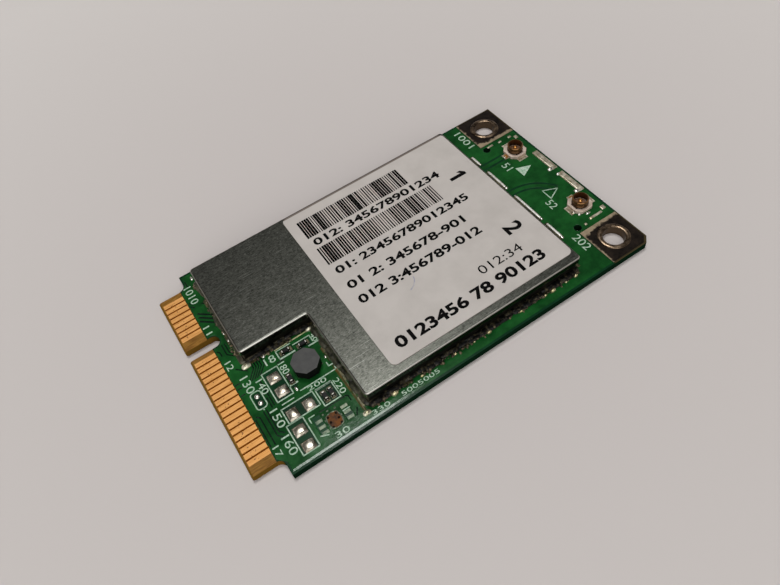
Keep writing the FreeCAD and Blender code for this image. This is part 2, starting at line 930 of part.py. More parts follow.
def main():
    os.makedirs("parts", exist_ok=True)
    chip_x = (cutout_x + shield_right) / 2
    save_board()
    save_shield()
    save_sockets()
    save_spare_lands()
    lands = save_inductor() + save_chips(chip_x) + save_flat_packages(chip_x)
    lands += save_crystal() + save_leaded_packages()
    save("component_lands", lands)


main()
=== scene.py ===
import math
import random

import bmesh
import bpy
from mathutils import Matrix, Vector
from mathutils.geometry import tessellate_polygon


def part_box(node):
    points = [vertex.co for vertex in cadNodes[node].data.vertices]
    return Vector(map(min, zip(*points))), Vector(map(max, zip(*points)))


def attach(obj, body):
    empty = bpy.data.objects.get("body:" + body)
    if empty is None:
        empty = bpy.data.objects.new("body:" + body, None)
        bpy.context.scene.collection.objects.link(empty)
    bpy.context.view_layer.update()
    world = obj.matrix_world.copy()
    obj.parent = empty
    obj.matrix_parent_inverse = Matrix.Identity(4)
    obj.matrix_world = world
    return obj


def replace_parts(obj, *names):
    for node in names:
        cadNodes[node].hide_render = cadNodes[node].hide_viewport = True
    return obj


# Finish of a small radio card that lies flat on a pale table

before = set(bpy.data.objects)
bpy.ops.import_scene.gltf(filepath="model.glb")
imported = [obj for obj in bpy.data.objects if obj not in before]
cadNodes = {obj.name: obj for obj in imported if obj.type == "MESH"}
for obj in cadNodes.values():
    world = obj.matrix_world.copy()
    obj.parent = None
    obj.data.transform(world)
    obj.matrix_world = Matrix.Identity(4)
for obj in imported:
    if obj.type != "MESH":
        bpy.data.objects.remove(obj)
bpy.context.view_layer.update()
mm = 0.001
samePoint = 0.001 * mm  # corners nearer to each other than this are one

boardLow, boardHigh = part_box("circuit_board")
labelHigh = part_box("label")[1]
coverLow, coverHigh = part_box("shield_cover")
padLow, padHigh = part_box("mounting_pad_far")
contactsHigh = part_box("edge_contacts_top")[1]
landLow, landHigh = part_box("spare_regulator_land")
print("frame loaded,", len(cadNodes), "nodes")


# Places and colours

def spotAt(along, across, z):  # mm from the contact edge and from the middle line
    return Vector((boardLow.x + along * mm, across * mm, z))


def onBoard(along, across, height=0.0):  # height in mm above the lacquer
    return spotAt(along, across, boardHigh.z + height * mm)


def underBoard(along, across, height=0.0):  # the same on the underside, measured downwards
    return spotAt(along, across, boardLow.z - height * mm)


def onLabel(along, across, height=0.0):
    return spotAt(along, across, labelHigh.z + height * mm)


def onLand(along, across, height=0.0):  # above the bare copper land
    return spotAt(along, across, landHigh.z + height * mm)


def alongOf(point):  # mm from the contact edge
    return (point.x - boardLow.x) / mm


def tint(red, green, blue):  # a colour as it looks on a screen, 0 to 255
    levels = [level / 255 for level in (red, green, blue)]
    linear = [v / 12.92 if v <= 0.04045 else ((v + 0.055) / 1.055) ** 2.4 for v in levels]
    return (*linear, 1.0)


def spanOf(points):  # lowest and highest corner
    return [Vector([pick(p[i] for p in points) for i in range(3)]) for pick in (min, max)]


def solidBoxes(nodeName):  # corners of each separate solid of a node
    mesh = cadNodes[nodeName].data
    corners = [tuple(round(c / samePoint) for c in v.co) for v in mesh.vertices]
    leader = {corner: corner for corner in corners}

    def root(corner):
        while leader[corner] != corner:
            leader[corner] = leader[leader[corner]]
            corner = leader[corner]
        return corner

    for polygon in mesh.polygons:
        first, *others = [corners[i] for i in polygon.vertices]
        for other in others:
            leader[root(other)] = root(first)
    groups = {}
    for vertex, corner in zip(mesh.vertices, corners):
        groups.setdefault(root(corner), []).append(vertex.co)
    return sorted((spanOf(points) for points in groups.values()), key=lambda box: tuple(box[0]))


# Shader building blocks

cloudShare = (0.35, 0.65)  # range of a noise that goes from one tone to the other
roughShare = (0.3, 0.7)  # the same for roughness
contactSide = (-0.5, -0.8)  # range of a normal's X over which a wall comes to face the contacts


def addNode(tree, kind, inputs=None, **settings):
    node = tree.nodes.new(kind)
    for key, value in settings.items():
        setattr(node, key, value)
    for key, value in (inputs or {}).items():
        if isinstance(value, bpy.types.NodeSocket):
            tree.links.new(value, node.inputs[key])
        else:
            node.inputs[key].default_value = value
    return node


def newMaterial(name, metal=0.0):
    material = bpy.data.materials.new(name)
    material.use_nodes = True
    tree = material.node_tree
    shader = tree.nodes["Principled BSDF"]
    shader.inputs["Metallic"].default_value = metal
    return material, tree, shader


def calc(tree, operation, first, second=0.0):
    return addNode(tree, "ShaderNodeMath", {0: first, 1: second}, operation=operation).outputs[0]


def times(tree, first, second):
    return calc(tree, "MULTIPLY", first, second)


def blendColour(tree, amount, first, second):
    node = addNode(tree, "ShaderNodeMix", {0: amount, 6: first, 7: second}, data_type="RGBA")
    return node.outputs[2]


def tones(tree, amount, look, first="dark", second="light"):  # from one tone of a look to another
    return blendColour(tree, amount, tint(*look[first]), tint(*look[second]))


def over(tree, amount, under, look, key):  # one tone of a look laid over a colour
    return blendColour(tree, amount, under, tint(*look[key]))


def remap(tree, value, fromLow, fromHigh, toLow=0.0, toHigh=1.0):
    node = addNode(tree, "ShaderNodeMapRange", {
        "Value": value, "From Min": fromLow, "From Max": fromHigh, "To Min": toLow, "To Max": toHigh})
    return node.outputs["Result"]


def unevenRough(tree, cloud, look):
    return remap(tree, cloud, *roughShare, *look["rough"])


def millimetres(tree, stretch=(1, 1, 1), turn=0.0):  # object coordinates in mm, stretched for streaks
    coordinates = addNode(tree, "ShaderNodeTexCoord")
    mapping = addNode(tree, "ShaderNodeMapping", {
        "Vector": coordinates.outputs["Object"],
        "Rotation": (0, 0, math.radians(turn)),
        "Scale": tuple(s / mm for s in stretch)})
    return mapping.outputs["Vector"]


def grain(tree, vector, scale, detail=3.0, roughness=0.55):
    node = addNode(tree, "ShaderNodeTexNoise", {
        "Vector": vector, "Scale": scale, "Detail": detail, "Roughness": roughness})
    return node.outputs["Fac"]


def swing(tree, noise, reach):  # a noise turned into plus and minus
    return times(tree, calc(tree, "SUBTRACT", noise, 0.5), reach)


def axes(tree, vector):
    return addNode(tree, "ShaderNodeSeparateXYZ", {"Vector": vector}).outputs


def facing(tree):  # the surface's normal by axes
    return axes(tree, addNode(tree, "ShaderNodeNewGeometry").outputs["Normal"])


def mirrored(tree, spot):  # X, and Y the same on both sides of the middle line
    place = axes(tree, spot)
    return place["X"], calc(tree, "ABSOLUTE", place["Y"])


def fromAxis(tree, x, y, middle):  # distance from an upright axis
    dx, dy = calc(tree, "SUBTRACT", x, middle.x), calc(tree, "SUBTRACT", y, middle.y)
    return calc(tree, "SQRT", calc(tree, "ADD", times(tree, dx, dx), times(tree, dy, dy)))


def relief(tree, shader, height, depth):  # depth in mm
    bump = addNode(tree, "ShaderNodeBump", {"Height": height, "Distance": depth * mm, "Strength": 1.0})
    tree.links.new(bump.outputs["Normal"], shader.inputs["Normal"])


def fineRelief(tree, shader, spot, look):
    relief(tree, shader, grain(tree, spot, look["fine"]), look["depth"])


def wire(tree, shader, **sockets):
    names = {"colour": "Base Color", "rough": "Roughness", "gloss": "Specular IOR Level"}
    for key, socket in sockets.items():
        tree.links.new(socket, shader.inputs[names[key]])


def mottled(name, look):  # two tones in soft clouds, with a fine relief
    material, tree, shader = newMaterial(name, look.get("metal", 0.0))
    shader.inputs["Specular IOR Level"].default_value = look.get("gloss", 0.5)
    spot = millimetres(tree, look.get("stretch", (1, 1, 1)))
    cloud = grain(tree, spot, look["cloud"], detail=4.0, roughness=0.6)
    wire(tree, shader, colour=tones(tree, remap(tree, cloud, *look.get("share", cloudShare)), look),
         rough=unevenRough(tree, cloud, look))
    fineRelief(tree, shader, spot, look)
    return material


# Finishes with a make-up of their own

lacquerLook = {
    # side and laminateSide are painted shade: the board's sides are darker than its faces
    "dark": (9, 44, 25), "light": (15, 60, 33), "side": (12, 34, 20), "padMargin": (64, 56, 36),
    "laminate": (146, 104, 42), "laminateDark": (112, 74, 24), "laminateSide": (112, 82, 30),
    "bareLength": alongOf(contactsHigh), "blur": 0.03, "sideFade": (3.0, 4.4), "tongueHalf": 13.2,
    "sideBlur": 0.1, "level": (0.75, 0.9), "rough": (0.15, 0.5), "gloss": (0.2, 0.12), "glossSide": 0.0,
    "cloud": 0.5, "fibre": 0.9, "fibreStretch": (1, 6, 1), "fine": 3.0, "depth": 0.004,
}


def boardLacquer(look):  # green coat, with bare laminate under the contacts
    material, tree, shader = newMaterial("boardLacquer")
    spot = millimetres(tree)
    x, across = mirrored(tree, spot)
    level = remap(tree, calc(tree, "ABSOLUTE", facing(tree)["Z"]), *look["level"])
    edge = boardLow.x / mm + look["bareLength"]
    bare = remap(tree, x, edge + look["blur"], edge - look["blur"])
    fadeStart, fadeEnd = [boardLow.x / mm + reach for reach in look["sideFade"]]
    onTongue = remap(tree, across, look["tongueHalf"] + look["sideBlur"], look["tongueHalf"])
    bareSide = times(tree, remap(tree, x, fadeEnd, fadeStart), onTongue)
    cloud = remap(tree, grain(tree, spot, look["cloud"]), *cloudShare)
    fibre = remap(tree, grain(tree, millimetres(tree, look["fibreStretch"]), look["fibre"]), *cloudShare)
    byPad = times(tree, remap(tree, x, padLow.x / mm, padLow.x / mm + look["sideBlur"]),
                  remap(tree, across, padLow.y / mm, padLow.y / mm + look["sideBlur"]))
    lacquer = over(tree, byPad, tones(tree, cloud, look), look, "padMargin")
    laminate = tones(tree, fibre, look, "laminateDark", "laminate")
    # painted shade: the sides are a darkened green under the lacquer and a darker tan where the laminate is
    # bare
    side = tones(tree, bareSide, look, "side", "laminateSide")
    face = blendColour(tree, bare, lacquer, laminate)
    wire(tree, shader, colour=blendColour(tree, level, side, face),
         rough=remap(tree, bare, 0, 1, *look["rough"]),
         gloss=remap(tree, level, 0, 1, look["glossSide"], remap(tree, bare, 0, 1, *look["gloss"])))
    fineRelief(tree, shader, spot, look)
    return material


goldLook = {
    "dark": (197, 138, 68), "light": (228, 169, 98), "stain": (104, 60, 20), "speck": (92, 48, 12),
    "metal": 0.5, "rough": (0.5, 0.6), "wornRow": (0.9, 1.7), "wornFade": 0.2,
    "streak": 1.6, "streakStretch": (0.35, 5, 1), "stains": 2.6, "stainShare": (0.66, 0.74),
    "specks": 4.2, "speckShare": (0.6, 0.66), "depth": 0.003,
}


def contactGold(look):  # wiped along the card, with a few brown stains
    material, tree, shader = newMaterial("contactGold", look["metal"])
    spot = millimetres(tree)
    x = axes(tree, spot)["X"]
    rowStart, rowEnd = [boardLow.x / mm + reach for reach in look["wornRow"]]
    worn = times(tree, remap(tree, x, rowStart, rowStart + look["wornFade"]),
                 remap(tree, x, rowEnd, rowEnd - look["wornFade"]))
    streak = grain(tree, millimetres(tree, look["streakStretch"]), look["streak"])
    stains = grain(tree, spot, look["stains"], detail=5.0, roughness=0.65)
    stained = remap(tree, stains, *look["stainShare"])
    speck = times(tree, worn, remap(tree, grain(tree, spot, look["specks"]), *look["speckShare"]))
    plate = over(tree, stained, tones(tree, remap(tree, streak, *cloudShare), look), look, "stain")
    wire(tree, shader, colour=over(tree, speck, plate, look, "speck"), rough=unevenRough(tree, streak, look))
    relief(tree, shader, streak, look["depth"])
    return material


padLook = {
    "dark": (18, 13, 9), "light": (40, 30, 22), "rim": (88, 72, 54), "strip": (170, 152, 126),
    "metal": 0.8, "rough": (0.3, 0.5), "rimFade": (1.85, 1.5), "sideFade": (0.22, 0.02),
    "innerFade": (0.52, 0.32), "corner": 0.45, "cornerFade": (0.3, 1.6), "ragged": 1.8, "raggedReach": 0.8,
    "cloud": 1.4, "share": (0.35, 0.7), "fine": 3.0, "depth": 0.012,
}


def mountingPlate(look):  # tarnished plate, paler along its two inner sides and round the hole
    material, tree, shader = newMaterial("mountingPlate", look["metal"])
    spot = millimetres(tree)
    x, across = mirrored(tree, spot)
    ragged = swing(tree, grain(tree, spot, look["ragged"], detail=4.0), look["raggedReach"])
    radius = fromAxis(tree, x, across, (padLow + padHigh) / 2 / mm)
    byHole = remap(tree, calc(tree, "ADD", radius, ragged), *look["rimFade"])
    fromInner = calc(tree, "ADD", calc(tree, "SUBTRACT", across, padLow.y / mm), ragged)
    fromSide = calc(tree, "ADD", calc(tree, "SUBTRACT", x, padLow.x / mm), ragged)
    nearCorner = remap(tree, fromSide, *look["cornerFade"], look["corner"], 0.0)
    inner = remap(tree, calc(tree, "SUBTRACT", fromInner, nearCorner), *look["innerFade"])
    strip = calc(tree, "MAXIMUM", inner, remap(tree, fromSide, *look["sideFade"]))
    cloud = grain(tree, spot, look["cloud"], detail=5.0, roughness=0.65)
    plate = tones(tree, remap(tree, cloud, *look["share"]), look)
    plate = over(tree, byHole, plate, look, "rim")
    wire(tree, shader, colour=over(tree, strip, plate, look, "strip"), rough=unevenRough(tree, cloud, look))
    fineRelief(tree, shader, spot, look)
    return material


steelLook = {
    "dark": (49, 50, 46), "light": (104, 105, 98), "scratch": (172, 172, 166), "fleck": (144, 144, 138),
    # wall is painted shade on the walls that face away from the contacts; sideFoot to sideTop is painted
    # light on walls that face the contacts, lighter towards their top
    "wall": (40, 40, 37), "sideFoot": (120, 114, 98), "sideTop": (228, 226, 218), "sideRamp": (1.5, 2.9),
    # bend, farBend and sideBend are painted highlights on the rounded bends of the cover
    "bend": (206, 204, 196), "farBend": (168, 154, 144), "sideBend": (136, 134, 128),
    "rough": (0.28, 0.36), "roughWall": 0.2, "depth": 0.0014,
    "cloud": 3.4, "share": (0.36, 0.64), "brush": 3.4, "brushStretch": (0.8, 3.0, 1), "brushTurn": 38,
    "brushRelief": 0.5, "flecks": 5.5, "fleckShare": (0.62, 0.72), "fleckMix": 0.5,
    "scratches": 1.5, "scratchStretch": (0.13, 6, 1), "scratchTurns": (-24, 47),
    "scratchShare": (0.67, 0.72), "scratchMix": 0.4,
    "wallRamp": (0.3, 0.2), "bendTop": (0.92, 0.86), "bendFoot": (0.45, 0.6), "bendSide": (0.1, 0.4),
}


def shieldSteel(look):  # tin-plated sheet: cloudy, finely brushed, with stray scratches
    material, tree, shader = newMaterial("shieldSteel", 1.0)
    spot = millimetres(tree)
    cloud = grain(tree, spot, look["cloud"], detail=6.0, roughness=0.8)
    wiped = millimetres(tree, look["brushStretch"], look["brushTurn"])
    brushed = grain(tree, wiped, look["brush"], detail=4.0, roughness=0.6)
    mixed = times(tree, calc(tree, "ADD", cloud, brushed), 0.5)  # the mean of the two
    fleck = remap(tree, grain(tree, spot, look["flecks"]), *look["fleckShare"])
    strokes = []
    for turn in look["scratchTurns"]:
        drawn = millimetres(tree, look["scratchStretch"], turn)
        stroke = grain(tree, drawn, look["scratches"], detail=2.0)
        strokes.append(remap(tree, stroke, *look["scratchShare"]))
    scratch = calc(tree, "MAXIMUM", *strokes)
    sheet = tones(tree, remap(tree, mixed, *look["share"]), look)
    sheet = over(tree, times(tree, fleck, look["fleckMix"]), sheet, look, "fleck")
    sheet = over(tree, times(tree, scratch, look["scratchMix"]), sheet, look, "scratch")
    # painted highlights: bends that turn to the near side, the far side and the contacts are lightened
    normal = facing(tree)
    bent = times(tree, remap(tree, normal["Z"], *look["bendTop"]),
                 remap(tree, normal["Z"], *look["bendFoot"]))
    for key, axis, sign in (("bend", "Y", -1), ("farBend", "Y", 1), ("sideBend", "X", -1)):
        turned = remap(tree, normal[axis], *[sign * part for part in look["bendSide"]])
        sheet = over(tree, times(tree, bent, turned), sheet, look, key)
    # painted light and shade on the walls: lighter upwards where they face the contacts, dark as shade
    # elsewhere
    raised = remap(tree, axes(tree, spot)["Z"], *look["sideRamp"])
    sideWall = tones(tree, raised, look, "sideFoot", "sideTop")
    skirt = blendColour(tree, remap(tree, normal["X"], *contactSide), tint(*look["wall"]), sideWall)
    wall = remap(tree, normal["Z"], *look["wallRamp"])
    rough = calc(tree, "MINIMUM", remap(tree, mixed, *cloudShare, *look["rough"]),
                 remap(tree, wall, 0, 1, 1.0, look["roughWall"]))
    wire(tree, shader, colour=blendColour(tree, wall, sheet, skirt), rough=rough)
    relief(tree, shader, calc(tree, "ADD", times(tree, brushed, look["brushRelief"]), cloud), look["depth"])
    return material


frameLook = {
    "dark": (30, 30, 27), "light": (54, 53, 48), "side": (146, 140, 122), "rough": (0.38, 0.5),
    "cloud": 1.2, "fine": 4.0, "depth": 0.008,
}


def frameSteel(look):  # dull sheet: painted light where it faces the contacts, dark where it faces away
    material, tree, shader = newMaterial("frameSteel", 1.0)
    spot = millimetres(tree)
    cloud = grain(tree, spot, look["cloud"], detail=4.0, roughness=0.6)
    sheet = tones(tree, remap(tree, cloud, *cloudShare), look)
    toContacts = remap(tree, facing(tree)["X"], *contactSide)
    wire(tree, shader, colour=over(tree, toContacts, sheet, look, "side"),
         rough=unevenRough(tree, cloud, look))
    fineRelief(tree, shader, spot, look)
    return material


paperLook = {
    "dark": (181, 174, 168), "light": (190, 183, 177), "edge": (170, 162, 152), "grime": (108, 96, 88),
    "rough": 0.55, "level": (0.4, 0.8), "grimeWidth": 0.26, "grimeBlur": 0.04,
    "cloud": 0.3, "fine": 7.0, "depth": 0.003,
}


def labelPaper(look):  # even and dull, with painted shade as a dark strip along the far edge
    material, tree, shader = newMaterial("labelPaper")
    shader.inputs["Roughness"].default_value = look["rough"]
    spot = millimetres(tree)
    cloud = remap(tree, grain(tree, spot, look["cloud"]), *cloudShare)
    level = remap(tree, facing(tree)["Z"], *look["level"])
    face = blendColour(tree, level, tint(*look["edge"]), tones(tree, cloud, look))
    farShadeEdge = labelHigh.y / mm - look["grimeWidth"]
    grime = remap(tree, axes(tree, spot)["Y"], farShadeEdge - look["grimeBlur"], farShadeEdge + look["grimeBlur"])
    wire(tree, shader, colour=over(tree, grime, face, look, "grime"))
    fineRelief(tree, shader, spot, look)
    return material


ferriteLook = {
    "dark": (44, 44, 43), "light": (66, 66, 64), "side": (7, 8, 7),
    "rough": (0.5, 0.65), "gloss": (0.08, 0.5), "level": (0.3, 0.7),
    "cloud": 1.0, "fine": 7.0, "depth": 0.006,
}


def ferriteBody(look):  # dull grey top, sides painted almost black as shade
    material, tree, shader = newMaterial("ferriteBody")
    spot = millimetres(tree)
    level = remap(tree, facing(tree)["Z"], *look["level"])
    cloud = grain(tree, spot, look["cloud"], detail=4.0)
    top = tones(tree, remap(tree, cloud, *cloudShare), look)
    wire(tree, shader, colour=blendColour(tree, level, tint(*look["side"]), top),
         rough=unevenRough(tree, cloud, look), gloss=remap(tree, level, 0, 1, *look["gloss"]))
    fineRelief(tree, shader, spot, look)
    return material


mouldLook = {
    "dark": (176, 156, 140), "light": (206, 188, 174), "well": (112, 78, 52), "wellRadius": 0.8, "blur": 0.04,
    "rough": 0.5, "cloud": 1.5, "fine": 6.0, "depth": 0.006,
}
socketLow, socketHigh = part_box("socket_base_far")


def socketMould(look):  # pale moulding, with painted shade at the bottom of the round well
    material, tree, shader = newMaterial("socketMould")
    shader.inputs["Roughness"].default_value = look["rough"]
    spot = millimetres(tree)
    radius = fromAxis(tree, *mirrored(tree, spot), (socketLow + socketHigh) / 2 / mm)
    well = remap(tree, radius, look["wellRadius"] + look["blur"], look["wellRadius"] - look["blur"])
    face = tones(tree, remap(tree, grain(tree, spot, look["cloud"]), *cloudShare), look)
    wire(tree, shader, colour=over(tree, well, face, look, "well"))
    fineRelief(tree, shader, spot, look)
    return material


shellLook = {
    "foot": (28, 18, 11), "rim": (128, 92, 58), "leg": (196, 182, 158),
    "legTop": 1.3, "top": 2.3, "blur": 0.05, "ragged": 0.5, "metal": 0.9, "rough": (0.24, 0.36),
    "cloud": 2.0, "fine": 5.0, "depth": 0.004,
}


def socketShell(look):  # round contact, darker towards its foot and lighter at its rim, with tinned legs
    material, tree, shader = newMaterial("socketShell", look["metal"])
    spot = millimetres(tree)
    z = axes(tree, spot)["Z"]
    cloud = grain(tree, spot, look["cloud"], detail=4.0)
    height = calc(tree, "ADD", z, swing(tree, cloud, look["ragged"]))
    wall = tones(tree, remap(tree, height, look["legTop"], look["top"]), look, "foot", "rim")
    leg = remap(tree, z, look["legTop"], look["legTop"] - look["blur"])
    wire(tree, shader, colour=over(tree, leg, wall, look, "leg"), rough=unevenRough(tree, cloud, look))
    fineRelief(tree, shader, spot, look)
    return material


# Plain finishes

plainLooks = {
    "pourLacquer": {"dark": (12, 58, 22), "light": (24, 84, 34), "rough": (0.09, 0.17), "gloss": 0.23,
                    "cloud": 0.45, "fine": 2.2, "depth": 0.006},
    "boardInk": {"dark": (126, 164, 134), "light": (196, 212, 194), "rough": (0.5, 0.65),
                 "cloud": 4.0, "fine": 8.0, "depth": 0.004},
    "tinnedCopper": {"dark": (170, 158, 130), "light": (220, 212, 194), "metal": 0.9, "rough": (0.28, 0.45),
                     "cloud": 1.6, "fine": 3.0, "depth": 0.006},
    # partly flux on the tin, partly painted shade at the foot of the shield
    "fluxedTinShaded": {"dark": (30, 36, 20), "light": (92, 86, 56), "metal": 0.5, "rough": (0.25, 0.4),
                  "cloud": 2.2, "fine": 4.0, "depth": 0.02},
    # painted shade: solder at the shield's feet and on the chip ends, darkened as shade
    "footSolderShaded": {"dark": (18, 18, 13), "light": (54, 51, 40), "metal": 1.0, "rough": (0.2, 0.3),
                   "cloud": 2.4, "fine": 3.0, "depth": 0.008},
    "dullTin": {"dark": (40, 64, 44), "light": (118, 126, 106), "metal": 0.5, "rough": (0.3, 0.45),
                "cloud": 2.4, "fine": 3.0, "depth": 0.02},
    "domeSolder": {"dark": (118, 106, 88), "light": (214, 207, 192), "metal": 0.85, "rough": (0.2, 0.3),
                   "cloud": 1.6, "fine": 2.4, "depth": 0.008},
    "fluxFilm": {"dark": (112, 128, 78), "light": (206, 200, 150), "rough": (0.25, 0.4),
                 "cloud": 2.2, "fine": 4.0, "depth": 0.01},
    "brightSolder": {"dark": (204, 200, 190), "light": (236, 234, 228), "metal": 1.0, "rough": (0.2, 0.3),
                     "cloud": 2.0, "fine": 3.5, "depth": 0.003},
    "cornerSolder": {"dark": (156, 150, 118), "light": (240, 236, 214), "metal": 0.65, "rough": (0.22, 0.32),
                     "cloud": 2.2, "fine": 3.0, "depth": 0.02},
    "warmSolder": {"dark": (176, 160, 112), "light": (232, 222, 184), "metal": 0.8, "rough": (0.2, 0.3),
                   "cloud": 2.4, "fine": 3.5, "depth": 0.004},
    "frostSolder": {"dark": (206, 202, 192), "light": (238, 236, 230), "metal": 0.35, "rough": (0.3, 0.4),
                    "cloud": 2.0, "fine": 3.5, "depth": 0.003},
    # painted shade: seam solder by the near, far and step walls, darkened as the shade at the shield's foot
    "seamSolderShaded": {"dark": (6, 6, 5), "light": (96, 88, 66), "metal": 0.6, "rough": (0.3, 0.45),
                   "cloud": 2.4, "fine": 4.5, "depth": 0.08, "share": (0.5, 0.74)},
    # painted light: the same seam by the walls that face the contacts, lighter as if lit like those walls
    "seamSolderLit": {"dark": (18, 22, 14), "light": (92, 90, 72), "metal": 0.4, "rough": (0.3, 0.45),
                   "cloud": 1.3, "fine": 4.0, "depth": 0.02},
    "fleckSolder": {"dark": (16, 12, 8), "light": (126, 112, 88), "metal": 0.6, "rough": (0.25, 0.4),
                    "cloud": 1.8, "fine": 4.0, "depth": 0.01},
    "gapLacquer": {"dark": (2, 22, 12), "light": (6, 33, 18), "rough": (0.2, 0.3), "gloss": 0.15,
                   "cloud": 0.9, "fine": 3.0, "depth": 0.004},
    "gapBrown": {"dark": (100, 48, 2), "light": (130, 70, 6), "rough": (0.5, 0.6), "gloss": 0.02,
                 "cloud": 2.0, "fine": 4.0, "depth": 0.004},
    "rimBronze": {"dark": (60, 48, 37), "light": (136, 117, 97), "metal": 1.0, "rough": (0.24, 0.36),
                  "cloud": 1.6, "fine": 4.0, "depth": 0.006},
    "pinGold": {"dark": (204, 140, 70), "light": (236, 178, 108), "metal": 1.0, "rough": (0.25, 0.35),
                "cloud": 2.0, "fine": 6.0, "depth": 0.003},
    "copperWire": {"dark": (140, 74, 36), "light": (190, 110, 60), "metal": 0.9, "rough": (0.25, 0.4),
                   "cloud": 2.0, "fine": 6.0, "depth": 0.01, "stretch": (1, 1, 8)},
    "bareCopper": {"dark": (42, 22, 4), "light": (104, 60, 16), "metal": 0.3, "rough": (0.4, 0.55),
                   "gloss": 0.2, "cloud": 1.6, "fine": 4.0, "depth": 0.012},
    "resistorBlack": {"dark": (8, 9, 9), "light": (22, 23, 22), "rough": (0.35, 0.5), "gloss": 0.15,
                      "cloud": 2.0, "fine": 6.0, "depth": 0.006},
    "capacitorTan": {"dark": (140, 112, 84), "light": (170, 142, 112), "rough": (0.4, 0.55),
                     "cloud": 1.5, "fine": 5.0, "depth": 0.006},
    "chipResin": {"dark": (24, 24, 25), "light": (40, 40, 41), "rough": (0.5, 0.65),
                  "cloud": 0.8, "fine": 6.0, "depth": 0.008},
    "crystalCeramic": {"dark": (150, 136, 116), "light": (178, 164, 144), "rough": (0.5, 0.6),
                       "cloud": 1.2, "fine": 5.0, "depth": 0.006},
    "labelInk": {"dark": (4, 4, 4), "light": (13, 12, 12), "rough": (0.55, 0.7), "gloss": 0.04,
                 "cloud": 1.5, "fine": 6.0, "depth": 0.002},
    "penInk": {"dark": (150, 150, 168), "light": (186, 182, 184), "rough": (0.5, 0.6),
               "cloud": 2.5, "fine": 6.0, "depth": 0.001},
    # painted shade: each via hole is a dark disc, the shade inside it painted
    "viaHoleShade": {"dark": (10, 7, 3), "light": (24, 14, 6), "rough": (0.5, 0.7), "gloss": 0.05,
               "cloud": 3.0, "fine": 6.0, "depth": 0.004},
    "fluxStain": {"dark": (22, 58, 26), "light": (88, 70, 30), "rough": (0.2, 0.35),
                  "cloud": 0.9, "fine": 4.0, "depth": 0.01},
}

finishes = {name: mottled(name, look) for name, look in plainLooks.items()}
for make, look in ((boardLacquer, lacquerLook), (contactGold, goldLook), (mountingPlate, padLook),
                   (shieldSteel, steelLook), (frameSteel, frameLook), (labelPaper, paperLook),
                   (ferriteBody, ferriteLook), (socketMould, mouldLook), (socketShell, shellLook)):
    finishes[make.__name__] = make(look)
print("finishes made,", len(finishes))


# Finishes on the solids of the frame

nodeFinish = {
    "boardLacquer": ["circuit_board"],
    "contactGold": ["edge_contacts_top", "edge_contacts_bottom", "test_lands"],
    "mountingPlate": ["mounting_pad_far", "mounting_pad_near"],
    "tinnedCopper": ["ground_strips", "socket_lands", "memory_chip_leads", "voltage_regulator_leads"],
    "dullTin": ["spare_regulator_pads", "inductor_terminals"],
    "fluxedTinShaded": ["shield_lands", "component_lands"],
    "footSolderShaded": ["shield_solder", "chip_ends"],
    "shieldSteel": ["shield_cover"],
    "frameSteel": ["shield_frame", "crystal_lid"],
    "brightSolder": ["spare_capacitor_lands", "spare_resistor_lands"],
    "labelPaper": ["label"],
    "socketMould": ["socket_base_far", "socket_base_near"],
    "socketShell": ["socket_shell_far", "socket_shell_near"],
    "pinGold": ["socket_pin_far", "socket_pin_near"],
    "ferriteBody": ["inductor_sleeve", "inductor_core"],
    "copperWire": ["inductor_winding"],
    "bareCopper": ["spare_regulator_land"],
    "resistorBlack": ["resistor_bodies"],
    "capacitorTan": ["capacitor_bodies", "band_filters"],
    "chipResin": ["wireless_chip", "power_amplifiers", "antenna_switch", "memory_chip", "voltage_regulator"],
    "crystalCeramic": ["crystal_base"],
}
for finishName, nodeNames in nodeFinish.items():
    for nodeName in nodeNames:
        cadNodes[nodeName].data.materials.clear()
        cadNodes[nodeName].data.materials.append(finishes[finishName])
print("solids dressed,", sum(len(names) for names in nodeFinish.values()))


# Pieces and geometry node trees

def addObject(name, data):
    thing = bpy.data.objects.new(name, data)
    bpy.context.scene.collection.objects.link(thing)
    return thing


def finishedMesh(thing):  # its mesh with everything applied
    depsgraph = bpy.context.evaluated_depsgraph_get()
    return bpy.data.meshes.new_from_object(thing.evaluated_get(depsgraph), depsgraph=depsgraph)


def keepPiece(piece):
    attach(piece, "root")
    return piece


def newPiece(name, mesh, finishName):
    mesh.materials.append(finishes[finishName])
    return keepPiece(addObject(name, mesh))


def newTree(name, inputs):
    tree = bpy.data.node_groups.new(name, "GeometryNodeTree")
    tree.interface.new_socket("Geometry", in_out="INPUT", socket_type="NodeSocketGeometry")
    tree.interface.new_socket("Geometry", in_out="OUTPUT", socket_type="NodeSocketGeometry")
    keys = {}
    for label, kind in inputs.items():
        socket = tree.interface.new_socket(label, in_out="INPUT", socket_type="NodeSocket" + kind)
        keys[label] = socket.identifier
    return tree, keys, addNode(tree, "NodeGroupInput").outputs


def endTree(tree, geometry, material):  # real faces with their finish
    real = addNode(tree, "GeometryNodeRealizeInstances", {"Geometry": geometry})
    dressed = addNode(tree, "GeometryNodeSetMaterial", {"Geometry": real.outputs[0], "Material": material})
    addNode(tree, "NodeGroupOutput", {0: dressed.outputs[0]})


def runTree(name, startMesh, treeAndKeys, values, move=None):
    tree, keys = treeAndKeys
    piece = addObject(name, startMesh)
    modifier = piece.modifiers.new("make", "NODES")
    modifier.node_group = tree
    for label, value in values.items():
        modifier[keys[label]] = value
    finished = finishedMesh(piece)
    piece.modifiers.clear()
    piece.data = finished
    if move:
        finished.transform(Matrix.Translation(move))
    return keepPiece(piece)


